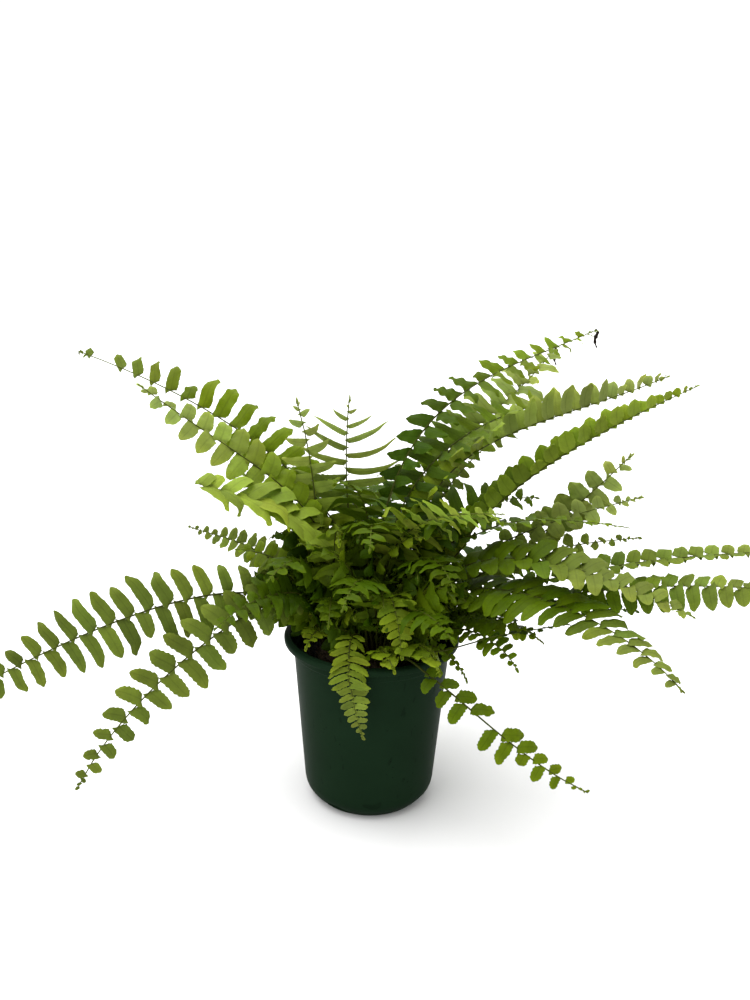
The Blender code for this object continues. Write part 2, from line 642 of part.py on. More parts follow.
def resample(path, places):
    """Points of a path at the given shares of its length."""
    lengths = [0.0]
    for one, two in zip(path, path[1:]):
        lengths.append(lengths[-1] + (two - one).length)
    points = []
    step = 0
    for place in places:
        wanted = place * lengths[-1]
        while step < len(path) - 2 and lengths[step + 1] < wanted:
            step += 1
        span = lengths[step + 1] - lengths[step]
        share = (wanted - lengths[step]) / span
        points.append(path[step].lerp(path[step + 1], share))
    return points


class Stem:
    """A frond's stem: its path and the frame that turns along it."""

    def __init__(self, row, path):
        self.row = row
        self.path = path
        self.total = sum((two - one).length for one, two in zip(path, path[1:]))
        self.swell = 0.0
        self.stipe = max(2, math.ceil(row["bare"] * self.total / STIPE_STEP))

    def frame(self, place):
        """Point, forward, sideways and upward directions at a share of the length."""
        near = max(0.0, place - FRAME_REACH)
        far = min(1.0, place + FRAME_REACH)
        before, point, after = resample(self.path, (near, place, far))
        forward = (after - before).normalized()
        side = heading(self.row["azimuth"] + 90.0)
        side = (side - forward * side.dot(forward)).normalized()
        turn = min(1.0, place / max(LEAST_BARE, self.row["bare"]))
        side = Matrix.Rotation(math.radians(self.row["roll"] * turn), 3, forward) @ side
        return point, forward, side, forward.cross(side)

    def half_sizes(self, place):
        """Half the stem's width and half its thickness at a share of the length."""
        width = STEM_WIDTH + (STEM_WIDTH_TIP - STEM_WIDTH) * place
        thickness = STEM_THICKNESS + (STEM_THICKNESS_TIP - STEM_THICKNESS) * place
        return width / 2.0 + self.swell, thickness / 2.0 + self.swell

    def edge(self, place, hand):
        """The upper and lower corner on one side: hand is 1 for the left, -1 for the right."""
        point, _, side, up = self.frame(place)
        wide, thick = self.half_sizes(place)
        outward = point + side * wide * hand
        return outward + up * thick, outward - up * thick

    def stations(self, hand):
        """Shares of the length where leaflets begin and end on one side."""
        bare = self.row["bare"]
        pitch = (1.0 - bare) / (self.row["pairs"] + 0.5)
        offset = 0.0 if hand > 0 else 0.5
        stations = [bare + pitch * (offset + k) for k in range(self.row["pairs"] + 1)]
        return [min(1.0, place) for place in stations]


# ---------------------------------------------------------------- leaflets
def leaf_share(u):
    """Length of a leaflet against the longest, at a share u of the leafy stretch."""
    grown = math.sin(min(1.0, u / FULL_LENGTH_FROM) * math.pi / 2.0)
    rise = LOWEST_SHARE + (1.0 - LOWEST_SHARE) * grown
    past = max(0.0, (u - SHORTER_FROM) / (1.0 - SHORTER_FROM))
    return rise * (1.0 - (1.0 - TIP_SHARE) * past ** TIP_FALL)


def leaf_outline(stem, hand, first, last, lift, swing, share):
    """The three free corners of a leaflet's outline, or None where it would be too small."""
    row = stem.row
    middle = (first + last) / 2.0
    point, forward, side, up = stem.frame(middle)
    wide, _ = stem.half_sizes(middle)
    along = (middle - row["bare"]) / (1.0 - row["bare"])
    length = row["leaf"] * MM * leaf_share(along) * share
    if length < SMALLEST_LEAF:
        return None
    slot = (last - first) * stem.total
    width = row["wide"] * MM * (NARROWEST + (1.0 - NARROWEST) * leaf_share(along))
    width = min(width, slot * SLOT_SHARE, length * ROUNDEST_LEAF)
    fold = max(-STEEPEST_FOLD, min(STEEPEST_FOLD, row["cup"] + lift))
    fold_angle = math.radians(fold)
    out = side * hand * math.cos(fold_angle) + up * math.sin(fold_angle)
    level_way = Vector((forward.x, forward.y, 0.0))
    if level_way.length < LEVEL_LIMIT:
        level_way = heading(row["azimuth"])
    level_way.normalize()
    sweep = math.radians(LEAF_SWEEP * (1.0 - SWEEP_LOST * along) + swing)
    root = point + side * hand * wide
    for turn in BLADE_TURNS:
        across = forward.lerp(level_way, row["level"] * turn).normalized()
        across = (across - out * across.dot(out)).normalized()
        tip_way = out * math.cos(sweep) + across * math.sin(sweep)
        far_way = across * math.cos(sweep) - out * math.sin(sweep)
        near = root + tip_way * length * SHOULDER_NEAR - far_way * width / 2.0
        far = root + tip_way * length * SHOULDER_FAR + far_way * width / 2.0
        tip = root + tip_way * length
        if is_open(stem, hand, first, last, (near, tip, far)):
            return near, tip, far
    return None


def is_open(stem, hand, first, last, outline):
    """Whether a leaflet's upper faces all lie above its lower ones."""
    near, tip, far = outline
    upper_a, lower_a = stem.edge(first, hand)
    upper_b, lower_b = stem.edge(last, hand)
    root_a = (upper_a + lower_a) / 2.0
    root_b = (upper_b + lower_b) / 2.0
    up = (upper_a - lower_a + upper_b - lower_b).normalized()
    for one, two in ((root_b, far), (far, tip), (tip, near)):
        face_way = (one - root_a).cross(two - root_a).normalized()
        if face_way.dot(up) * hand < LEAST_OPEN:
            return False
    return True


def leaf_faces(first, last, near, tip, far, hand):
    """Faces of a leaflet between two stem stations; each station is (upper, lower)."""
    faces = [
        (first[0], last[0], far), (first[0], far, tip), (first[0], tip, near),
        (first[1], far, last[1]), (first[1], tip, far), (first[1], near, tip),
        (first[0], near, first[1]), (last[0], last[1], far),
    ]
    if hand < 0:
        faces = [tuple(reversed(face)) for face in faces]
    return faces


def test_shape(stem, hand, first, last, outline, trimmed):
    """A leaflet with its free space, as points and faces, to try against what is there.

    The trimmed shape leaves out the root, where neighbours on one stem meet.
    """
    near, tip, far = outline
    upper_a, lower_a = stem.edge(first, hand)
    upper_b, lower_b = stem.edge(last, hand)
    root_a = (upper_a + lower_a) / 2.0
    root_b = (upper_b + lower_b) / 2.0
    if trimmed:
        near_share, far_share = ROOT_LEFT_OUT
        root_a = root_a.lerp(near, near_share)
        root_b = root_b.lerp(far, far_share)
    centre = (near + far) / 2.0
    ring = []
    for corner in (root_a, near, tip, far, root_b):
        away = corner - centre
        grow = OUTLINE_CLEARANCE / max(away.length, TINY)
        ring.append(corner + away * (0.0 if trimmed and corner in (root_a, root_b) else grow))
    normal = (far - near).cross(tip - centre).normalized()
    half = LEAF_CLEARANCE + STEM_THICKNESS * BLADE_HALF
    points = [corner + normal * half for corner in ring]
    points += [corner - normal * half for corner in ring]
    faces = [(0, 1, 2), (0, 2, 3), (0, 3, 4), (5, 7, 6), (5, 8, 7), (5, 9, 8)]
    for step in range(5):
        after = (step + 1) % 5
        faces += [(step, step + 5, after + 5), (step, after + 5, after)]
    return points, faces


class Space:
    """What already stands in the way: each thing's tree of faces and its box."""

    def __init__(self):
        self.things = {}

    def add(self, name, points, faces):
        """Put a thing in, or put a new one in its place."""
        if faces:
            low = [min(p[axis] for p in points) for axis in range(3)]
            high = [max(p[axis] for p in points) for axis in range(3)]
            self.things[name] = (BVHTree.FromPolygons(points, faces), low, high)

    def hit(self, points, faces, but=()):
        """Whether a shape touches anything other than the names left out."""
        low = [min(p[axis] for p in points) for axis in range(3)]
        high = [max(p[axis] for p in points) for axis in range(3)]
        tree = None
        for name, (there, there_low, there_high) in self.things.items():
            if name in but:
                continue
            if any(low[k] > there_high[k] or high[k] < there_low[k] for k in range(3)):
                continue
            if tree is None:
                tree = BVHTree.FromPolygons(points, faces)
            if tree.overlap(there):
                return True
        return False


def tries():
    """Ways to place a leaflet, the least changed first: lift, swing, share of its length."""
    ways = []
    for lift in LIFTS:
        for swing in SWINGS:
            for share in SHARES:
                cost = abs(lift) * LIFT_COST + abs(swing) * SWING_COST
                cost += (1.0 - share) * SHORTER_COST
                ways.append((cost, lift, swing, share))
    ways.sort(key=lambda way: way[0])
    return [way[1:] for way in ways]


def place_leaflets(stem, space, ways):
    """Choose a free place for each leaflet of a frond; returns {(hand, index): outline}."""
    name = stem.row["name"]
    own = Space()
    chosen = {}
    leaf_points = []
    leaf_polygons = []
    for index in range(stem.row["pairs"]):
        for hand in (1, -1):
            stations = stem.stations(hand)
            first, last = stations[index], stations[index + 1]
            for lift, swing, share in ways:
                outline = leaf_outline(stem, hand, first, last, lift, swing, share)
                if outline is None:
                    continue
                points, faces = test_shape(stem, hand, first, last, outline, False)
                if min(point.z for point in points) < LOWEST_LEAF:
                    continue
                if space.hit(points, faces, but=(name + " stem",)):
                    continue
                short_points, short_faces = test_shape(stem, hand, first, last, outline, True)
                if own.hit(short_points, short_faces):
                    continue
                chosen[(hand, index)] = outline
                corners = stem.edge(first, hand) + stem.edge(last, hand)
                shape = [corners[0], corners[1], corners[2], corners[3], *outline]
                solid = leaf_faces((0, 1), (2, 3), 4, 5, 6, hand)
                own.add((hand, index), shape, solid)
                start = len(leaf_points)
                leaf_points += shape
                leaf_polygons += [tuple(corner + start for corner in face) for face in solid]
                break
    space.add(name + " leaflets", leaf_points, leaf_polygons)
    return chosen


# ---------------------------------------------------------------- frond solids
def stem_rows(stem):
    """All the stations on each side, from the foot to the tip, as shares of the length."""
    bare = stem.row["bare"]
    stipe = [bare * step / stem.stipe for step in range(stem.stipe)]
    rows = {}
    for hand in (1, -1):
        places = stipe + ([bare] if hand < 0 else []) + stem.stations(hand)
        if places[-1] < 1.0 - TINY:
            places.append(1.0)
        rows[hand] = places
    return rows


def frond_mesh(stem, leaflets):
    """Points and faces of a whole frond."""
    points = []
    faces = []
    rows = stem_rows(stem)
    corners = {}
    for hand in (1, -1):
        corners[hand] = []
        for place in rows[hand]:
            upper, lower = stem.edge(place, hand)
            corners[hand].append((len(points), len(points) + 1))
            points += [upper, lower]
    left, right = corners[1], corners[-1]
    here = {1: 0, -1: 0}
    while here[1] < len(left) - 1 or here[-1] < len(right) - 1:
        can_left = here[1] < len(left) - 1
        can_right = here[-1] < len(right) - 1
        next_left = rows[1][here[1] + 1] if can_left else math.inf
        next_right = rows[-1][here[-1] + 1] if can_right else math.inf
        a, b = left[here[1]], right[here[-1]]
        if next_left <= next_right:
            c = left[here[1] + 1]
            faces += [(a[0], b[0], c[0]), (a[1], c[1], b[1])]
            here[1] += 1
        else:
            c = right[here[-1] + 1]
            faces += [(a[0], b[0], c[0]), (a[1], c[1], b[1])]
            here[-1] += 1
    for hand in (1, -1):
        stations = stem.stations(hand)
        for step, (first, last) in enumerate(zip(corners[hand], corners[hand][1:])):
            index = step - (stem.stipe if hand > 0 else stem.stipe + 1)
            outline = leaflets.get((hand, index)) if 0 <= index < len(stations) - 1 else None
            if outline is None:
                wall = [(first[0], last[0], last[1]), (first[0], last[1], first[1])]
                faces += wall if hand > 0 else [tuple(reversed(face)) for face in wall]
                continue
            near, tip, far = range(len(points), len(points) + 3)
            points += outline
            faces += leaf_faces(first, last, near, tip, far, hand)
    faces += [(left[0][0], left[0][1], right[0][1]), (left[0][0], right[0][1], right[0][0])]
    end, forward, _, _ = stem.frame(1.0)
    apex = len(points)
    points.append(end + forward * TIP_LENGTH)
    loop = (left[-1][0], right[-1][0], right[-1][1], left[-1][1])
    for step in range(4):
        faces.append((loop[step], loop[(step + 1) % 4], apex))
    return points, faces


def lift_over_rim(row, path):
    """Raise a path where one of the stem's straight pieces would cut a corner of the rim."""
    stem = Stem(row, path)
    wanted = POT_HEIGHT + STEM_THICKNESS / 2.0 + RIM_TOUCH
    for places in stem_rows(stem).values():
        points = [stem.frame(place)[0] for place in places]
        for one, two in zip(points, points[1:]):
            radius_one = math.hypot(one.x, one.y)
            radius_two = math.hypot(two.x, two.y)
            for corner in (RIM_RADIUS - LIP_WIDTH, RIM_RADIUS):
                if (radius_one - corner) * (radius_two - corner) >= 0.0:
                    continue
                crossing = one.lerp(two, (corner - radius_one) / (radius_two - radius_one))
                short = wanted - crossing.z
                if short <= 0.0:
                    continue
                for point in path:
                    away = (point - crossing).length / RIM_LIFT_LENGTH
                    point.z += short * LIFT_EXTRA * (1.0 - smooth_step(away))


def stems_are_clear(stems):
    """Whether no two stems, swollen by the free space they need, touch each other."""
    space = Space()
    for name, stem in stems.items():
        stem.swell = GAP
        points, faces = frond_mesh(stem, {})
        stem.swell = 0.0
        if space.hit(points, faces):
            return False
        space.add(name, points, faces)
    return True


def leaf_material(name):
    """Which leaf material a frond takes."""
    if name in BRIGHT:
        return "leaf_bright"
    if name in DARK:
        return "leaf_dark"
    return "leaf_mid"


def build_fronds(materials, space):
    """Grow every frond, clear of the pot, the soil, the crowns and the other fronds."""
    feet = place_feet()
    paths = {row["name"]: first_path(row, feet[row["name"]]) for row in FRONDS}
    for opening in OPENINGS:
        spread_stems(paths, opening)
        for row in FRONDS:
            lift_over_rim(row, paths[row["name"]])
        stems = {row["name"]: Stem(row, paths[row["name"]]) for row in FRONDS}
        if stems_are_clear(stems):
            break
    for name, stem in stems.items():
        points, faces = frond_mesh(stem, {})
        space.add(name + " stem", points, faces)
    ways = tries()
    for name, stem in stems.items():
        leaflets = place_leaflets(stem, space, ways)
        points, faces = frond_mesh(stem, leaflets)
        add_object(name, points, faces, materials[leaf_material(name)])


def main():
    """Build the whole plant."""
    clear_scene()
    materials = make_materials()
    space = Space()
    made = [build_pot(materials["pot_plastic"]), build_soil(materials["soil"])]
    made += [build_crown(name, materials["crown"]) for name in CROWNS]
    for thing in made:
        points = [vertex.co.copy() for vertex in thing.data.vertices]
        faces = [tuple(polygon.vertices) for polygon in thing.data.polygons]
        space.add(thing.name, points, faces)
    build_fronds(materials, space)


main()
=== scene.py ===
"""Looks of the potted fern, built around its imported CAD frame.

Every CAD frond is read back as a stem line and two rows of leaflets, and is then grown again
with curved blades, a round stem and a young tip. Small fronds that the CAD leaves out fill the
space above the crowns. Lengths are in metres, and tints are linear albedo.
"""

import heapq
import itertools
import json
import math

import bmesh
import bpy
import numpy as np
from mathutils import Matrix, Vector, noise


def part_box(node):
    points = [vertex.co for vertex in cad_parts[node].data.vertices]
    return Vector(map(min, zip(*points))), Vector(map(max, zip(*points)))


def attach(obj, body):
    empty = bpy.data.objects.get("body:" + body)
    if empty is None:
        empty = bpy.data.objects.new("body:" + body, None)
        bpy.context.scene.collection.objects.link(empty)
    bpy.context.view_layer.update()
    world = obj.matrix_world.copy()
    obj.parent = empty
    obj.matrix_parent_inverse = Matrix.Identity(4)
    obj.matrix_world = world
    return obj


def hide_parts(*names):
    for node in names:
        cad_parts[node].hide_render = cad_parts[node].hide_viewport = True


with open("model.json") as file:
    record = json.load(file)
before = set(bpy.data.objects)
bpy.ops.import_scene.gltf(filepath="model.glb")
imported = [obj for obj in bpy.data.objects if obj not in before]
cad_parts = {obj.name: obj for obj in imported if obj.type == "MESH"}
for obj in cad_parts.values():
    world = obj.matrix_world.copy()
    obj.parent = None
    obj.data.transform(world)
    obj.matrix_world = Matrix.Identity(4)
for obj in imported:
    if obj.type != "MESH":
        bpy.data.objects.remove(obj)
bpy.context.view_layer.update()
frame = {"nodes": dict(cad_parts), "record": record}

MM = 0.001
TINY = 1e-12                # shorter than this is no length at all
ORIGIN = (0.0, 0.0, 0.0)
DOWN = np.array([0.0, 0.0, -1.0])

# ---------------------------------------------------------------- reading the frame
WELD = 2e-5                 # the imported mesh's corners are joined within this
PAIR_EDGE = 0.0018          # a stem's upper and lower corners lie nearer than this
COUPLE_LENGTH = 0.0022      # and its left and right corners, where they are level
FRAME_STEP = 0.0015         # a stem's direction is taken this far to both sides of a place

# ---------------------------------------------------------------- camera and light
CAMERA_PLACE = (0.0003, -0.6823, 0.4363)
CAMERA_PITCH = 16.68        # degrees below the horizon
CAMERA_ROLL = 1.2           # degrees
SENSOR = 36.0               # the picture's long side in millimetres
LENS = 36.0
CAMERA_RANGE = (0.02, 50.0)
FLOOR_REACH = 60.0          # from the middle to each side
FLOOR_ALBEDO = 0.70
FLOOR_ROUGHNESS = 0.9
WORLD_STRENGTH = 1.06
# heading and height in degrees, strength, spread in degrees
SUNS = {"overhead": (100.0, 76.0, 3.8, 70.0), "window": (215.0, 50.0, 1.3, 60.0)}


# ---------------------------------------------------------------- small helpers
def unit(vectors):
    """Vectors scaled to length 1."""
    vectors = np.asarray(vectors, float)
    size = np.linalg.norm(vectors, axis=-1, keepdims=True)
    return vectors / np.maximum(size, TINY)


def ease(share):
    """0 to 1, flat at both ends."""
    share = np.clip(share, 0.0, 1.0)
    return share * share * (3.0 - 2.0 * share)


def direction(heading, height=0.0):
    """The direction with this heading and height, in degrees."""
    heading, height = math.radians(heading), math.radians(height)
    return np.array([math.cos(heading) * math.cos(height), math.sin(heading) * math.cos(height),
                     math.sin(height)])


def around(sides, shift=0.0):
    """Angles of the corners of a ring, moved on by a share of a side."""
    return 2.0 * math.pi * (np.arange(sides) + shift) / sides


def neighbours(ring):
    """Each corner of a closed ring with the next."""
    ring = list(ring)
    return list(zip(ring, ring[1:] + ring[:1]))


def band(one, two):
    """Quads between two rings."""
    return [(a, c, d, b) for (a, b), (c, d) in zip(neighbours(one), neighbours(two))]


class Curve:
    """A smooth curve through points, by its length in metres from the first."""

    def __init__(self, points):
        points = np.asarray(points, float)
        steps = np.linalg.norm(np.diff(points, axis=0), axis=1)
        self.at = np.concatenate([[0.0], np.cumsum(np.maximum(steps, 1e-6))])
        self.points = points
        count = len(points)
        gaps = np.diff(self.at)
        matrix = np.zeros((count, count))
        right = np.zeros((count, points.shape[1]))
        matrix[0, 0] = matrix[-1, -1] = 1.0
        for k in range(1, count - 1):
            matrix[k, k - 1] = gaps[k - 1]
            matrix[k, k] = 2.0 * (gaps[k - 1] + gaps[k])
            matrix[k, k + 1] = gaps[k]
            right[k] = 6.0 * ((points[k + 1] - points[k]) / gaps[k]
                              - (points[k] - points[k - 1]) / gaps[k - 1])
        self.bend = np.linalg.solve(matrix, right)

    def __call__(self, places):
        """Points at these lengths along the curve."""
        places = np.atleast_1d(places)
        k = np.clip(np.searchsorted(self.at, places) - 1, 0, len(self.at) - 2)
        gap = (self.at[k + 1] - self.at[k])[:, None]
        after = (places - self.at[k])[:, None] / gap
        before = 1.0 - after
        return (before * self.points[k] + after * self.points[k + 1]
                + ((before ** 3 - before) * self.bend[k]
                   + (after ** 3 - after) * self.bend[k + 1]) * gap ** 2 / 6.0)

    @property
    def total(self):
        return self.at[-1]


class Surface:
    """Points, faces and colours of one piece while it is being made."""

    def __init__(self):
        self.points = []
        self.tints = []
        self.marks = []
        self.faces = []
        self.slots = []
        self.count = 0

    def add(self, points, faces, tints, marks, slot=0):
        """Points with a colour and a mark each, and the faces between them."""
        points = np.asarray(points, float).reshape(-1, 3)
        tints = np.broadcast_to(np.asarray(tints, float), (len(points), 3))
        marks = np.broadcast_to(np.asarray(marks, float), (len(points), 3))
        self.points.append(points)
        self.tints.append(tints)
        self.marks.append(marks)
        self.faces += [tuple(int(i) + self.count for i in face) for face in faces]
        self.slots += [slot] * len(faces)
        self.count += len(points)

    def build(self, name, materials, sharp=45.0):
        """The object. tint is a colour attribute and mark is a vector one.

        Edges bent by more than the sharp angle, in degrees, are not smoothed.
        """
        points = np.vstack(self.points)
        mesh = bpy.data.meshes.new(name)
        mesh.from_pydata(points.tolist(), [], self.faces)
        for material in materials:
            mesh.materials.append(material)
        mesh.polygons.foreach_set("material_index", self.slots)
        mesh.polygons.foreach_set("use_smooth", [True] * len(mesh.polygons))
        tint = mesh.attributes.new("tint", "FLOAT_COLOR", "POINT")
        colours = np.hstack([np.vstack(self.tints), np.ones((len(points), 1))])
        tint.data.foreach_set("color", colours.astype(np.float32).ravel())
        mark = mesh.attributes.new("mark", "FLOAT_VECTOR", "POINT")
        mark.data.foreach_set("vector", np.vstack(self.marks).astype(np.float32).ravel())
        mesh.set_sharp_from_angle(angle=math.radians(sharp))
        mesh.update()
        made = bpy.data.objects.new(name, mesh)
        bpy.context.scene.collection.objects.link(made)
        return made


# ---------------------------------------------------------------- fronds from the frame
class Frond:
    """A frond: its stem's curve, the upward directions along it, and its leaflets.

    A leaflet is its hand (1 left, -1 right), its place on the stem, its root, its outward
    direction, the one across it towards the frond's tip, its upper side's normal, its length and
    its width.
    """

    def __init__(self, line, up):
        self.curve = Curve(line)
        self.up = up
        self.leaves = []


def read_frond(name):
    """Read a CAD frond back.

    A stem's corners come in upper and lower pairs. A leaflet's two far corners join it to the
    pairs at both ends of its root.
    """
    mesh = bmesh.new()
    mesh.from_mesh(frame["nodes"][name].data)
    bmesh.ops.remove_doubles(mesh, verts=mesh.verts, dist=WELD)
    mesh.verts.ensure_lookup_table()
    corner = np.array([tuple(v.co) for v in mesh.verts])
    links = [sorted(e.other_vert(v).index for e in v.link_edges) for v in mesh.verts]
    mesh.free()
    partner = {}
    for one, linked in enumerate(links):
        size, two = min((np.linalg.norm(corner[one] - corner[k]), k) for k in linked)
        if size < PAIR_EDGE:
            partner[one] = two
    partner = {one: two for one, two in partner.items() if partner.get(two) == one}
    pair_of = {}
    middles = []
    lifts = []
    for one, two in partner.items():
        if one < two:
            pair_of[one] = pair_of[two] = len(middles)
            middles.append((corner[one] + corner[two]) / 2.0)
            lifts.append(corner[one] - corner[two])
    beside = [set() for _ in middles]
    for one in partner:
        for two in links[one]:
            if two in partner and pair_of[two] != pair_of[one]:
                beside[pair_of[one]].add(pair_of[two])
    free = [k for k in range(len(corner)) if k not in partner]
    apex = next(k for k in free if all(j in partner for j in links[k]) and len(links[k]) == 4)
    # lengths back from the stem's end
    away = {}
    heap = [(float(np.linalg.norm(corner[apex] - corner[k])), pair_of[k]) for k in links[apex]]
    heapq.heapify(heap)
    while heap:
        size, pair = heapq.heappop(heap)
        if pair in away:
            continue
        away[pair] = size
        for other in beside[pair]:
            step = float(np.linalg.norm(middles[pair] - middles[other]))
            heapq.heappush(heap, (size + step, other))
    order = sorted(away, key=lambda pair: -away[pair])
    groups = []
    for pair in order:
        level = groups and len(groups[-1]) == 1 and (
            np.linalg.norm(middles[groups[-1][0]] - middles[pair]) < COUPLE_LENGTH)
        if level:
            groups[-1].append(pair)
        else:
            groups.append([pair])
    rough = np.array([np.mean([middles[k] for k in group], axis=0) for group in groups])
    line = rough.copy()
    line[1:-1] = rough[1:-1] * 0.5 + (rough[:-2] + rough[2:]) * 0.25
    for k, group in enumerate(groups):
        if len(group) == 2:
            line[k] = rough[k]
    way = unit(np.vstack([line[1] - line[0], line[2:] - line[:-2], line[-1] - line[-2]]))
    up = np.array([lifts[group[0]] for group in groups])
    up = unit(up - way * (up * way).sum(1, keepdims=True))
    for k in range(1, len(up)):
        if up[k] @ up[k - 1] < 0.0:
            up[k] = -up[k]
    side = np.cross(up, way)
    singles = [k for k, group in enumerate(groups) if len(group) == 1]
    vote = 0.0
    for turn, k in enumerate(singles):
        hand = -1.0 if turn % 2 == 0 else 1.0
        vote += hand * float((rough[k] - line[k]) @ side[k])
    if vote < 0.0:
        up, side = -up, -side
    made = Frond(np.vstack([line, corner[apex][None]]), np.vstack([up, up[-1:]]))
    group_of = {pair: k for k, group in enumerate(groups) for pair in group}
    for tip in free:
        ends = [k for k in links[tip] if k not in partner]
        if tip == apex or len(ends) != 2:
            continue
        near, far = sorted(ends, key=lambda k: len(links[k]))
        first = pair_of[next(k for k in links[near] if k in partner)]
        last = next(pair_of[k] for k in links[far] if k in partner and pair_of[k] != first)
        group = group_of[first]
        if len(groups[group]) == 1:
            hand = -1.0 if singles.index(group) % 2 == 0 else 1.0
        else:
            hand = math.copysign(1.0, (middles[first] - line[group]) @ side[group])
        place = (made.curve.at[group] + made.curve.at[group_of[last]]) / 2.0
        root = (middles[first] + middles[last]) / 2.0
        out = unit(corner[tip] - root)
        blade = corner[far] - corner[near]
        across = blade - out * (blade @ out)
        width = float(np.linalg.norm(across))
        across = unit(across)
        made.leaves.append((hand, place, root, out, across, np.cross(across, out) * hand,
                            float(np.linalg.norm(corner[tip] - root)), width))
    made.leaves.sort(key=lambda leaf: leaf[1])
    return made


def frond_frame(frond, places):
    """Points, forward, left and upward directions of a frond at these lengths."""
    places = np.atleast_1d(places)
    points = frond.curve(places)
    ahead = frond.curve(np.minimum(places + FRAME_STEP, frond.curve.total))
    behind = frond.curve(np.maximum(places - FRAME_STEP, 0.0))
    way = unit(ahead - behind)
    up = np.stack([np.interp(places, frond.curve.at, frond.up[:, k]) for k in range(3)], -1)
    up = unit(up - way * (up * way).sum(1, keepdims=True))
    return points, way, np.cross(up, way), up


def frame_at(frond, place):
    """Point, forward, left and upward directions of a frond at one length."""
    return [value[0] for value in frond_frame(frond, place)]


# ---------------------------------------------------------------- leaflets
LEAF_THICKNESS = 0.00022
# steps along and across a blade, for leaflets up to a length in metres
LEAF_GRIDS = ((0.007, 7, 4), (0.014, 10, 4), (1.0, 14, 6))
# how far a leaflet differs from its frond's shape: half a range for belly, else a deviation
SPREAD = dict(belly=0.07, arch=0.035, droop=0.055, hook=0.12, bend=0.05, fold=0.10, twist=0.22)
# factors between which a leaflet's teeth, sickle and wave lie, and the waves on a margin
TEETH_RANGE = (0.4, 1.5)
SICKLE_RANGE = (0.3, 1.7)
WAVE_RANGE = (0.2, 1.8)
WAVE_COUNTS = (1.2, 2.8)
YELLOWING = (1.07, 1.03, 0.95)  # of a blade's colour towards its tip
# a leaflet's outline and curves; lengths are shares of its own length
SHAPE = dict(
    long=1.03,      # length and width against the CAD leaflet's
    broad=1.14,
    belly=0.42,     # where it starts to narrow
    blunt=2.7,      # how long it stays wide
    point=0.50,     # 0.5 is a round tip and 1 a sharp one
    taper=0.10,
    base=0.66,      # width at the stem on the side of the frond's foot
    ear=0.20,       # lobe that covers the stem on the other side
    sickle=0.09,    # bend of the midrib within the blade
    arch=0.05,      # bulge of the midrib, and its fall towards the tip
    droop=0.06,
    fold=-0.10,     # slope of both halves from the midrib
    tile=0.10,      # turn at the stem that lifts one edge over the next leaflet
    wave=0.10,      # ripple of the margins
    teeth=0.014,
    hook=0.0,       # curl of the tip
)
OBLONG = {}
OVATE = dict(belly=0.26, blunt=2.2, point=0.52, taper=0.06, base=0.8, sickle=0.04)
SHELL = dict(belly=0.22, blunt=2.2, point=0.50, taper=0.04, base=0.95, ear=0.28, sickle=0.08,
             arch=0.10)
FAN = dict(belly=0.55, blunt=3.0, point=0.50, taper=-0.22, base=0.42, ear=0.04, sickle=0.05,
           wave=0.20)
SICKLE = dict(belly=0.22, blunt=1.9, point=0.62, taper=0.14, base=0.85, ear=0.24, sickle=0.20,
              wave=0.14)
# how a frond's leaflets differ from the CAD's: turns in degrees, (left, right) where there are two
POSE = dict(
    swing=(0.0, 0.0),    # towards the frond's tip
    lift=(0.0, 0.0),     # to their own upper side
    swing_tip=None,      # the same at the frond's tip, where it differs
    gone=((2.0, 2.0), (2.0, 2.0)),  # stretches (from, to) without leaflets on each side
    roll=0.0,            # about the stem
    stretch=0.0,         # extra length at the frond's tip, as a share
    slim=0.0,            # width taken off at the tip, as a share
    change=(0.1, 0.95),  # where along the leaflets the colour turns
    young=1.0,           # size of the youngest leaflets
    lean=0.9,            # of the youngest towards the tip, in radians
)


def leaf_grid(length):
    """Shares along and across, eased towards both ends."""
    for limit, along, across in LEAF_GRIDS:
        if length <= limit:
            break
    u = np.linspace(0.0, 1.0, along + 1)
    u = u * 0.55 + (1.0 - np.cos(u * math.pi)) / 2.0 * 0.45
    v = np.linspace(-1.0, 1.0, across + 1)
    return u[:, None], v[None, :]


def leaf_faces(rows, columns, flip):
    """Quads of a closed blade: upper grid, lower grid and the rim between them."""
    def at(i, j, lower):
        return (lower * rows + i) * columns + j
    faces = []
    for i in range(rows - 1):
        for j in range(columns - 1):
            quad = (at(i, j, 0), at(i + 1, j, 0), at(i + 1, j + 1, 0), at(i, j + 1, 0))
            under = (at(i, j, 1), at(i, j + 1, 1), at(i + 1, j + 1, 1), at(i + 1, j, 1))
            faces += [quad, under]
    loop = [(i, 0) for i in range(rows)] + [(rows - 1, j) for j in range(1, columns)]
    loop += [(i, columns - 1) for i in range(rows - 2, -1, -1)]
    loop += [(0, j) for j in range(columns - 2, 0, -1)]
    for one, two in neighbours(loop):
        faces.append((at(*two, 0), at(*one, 0), at(*one, 1), at(*two, 1)))
    if flip:
        faces = [tuple(reversed(face)) for face in faces]
    return faces


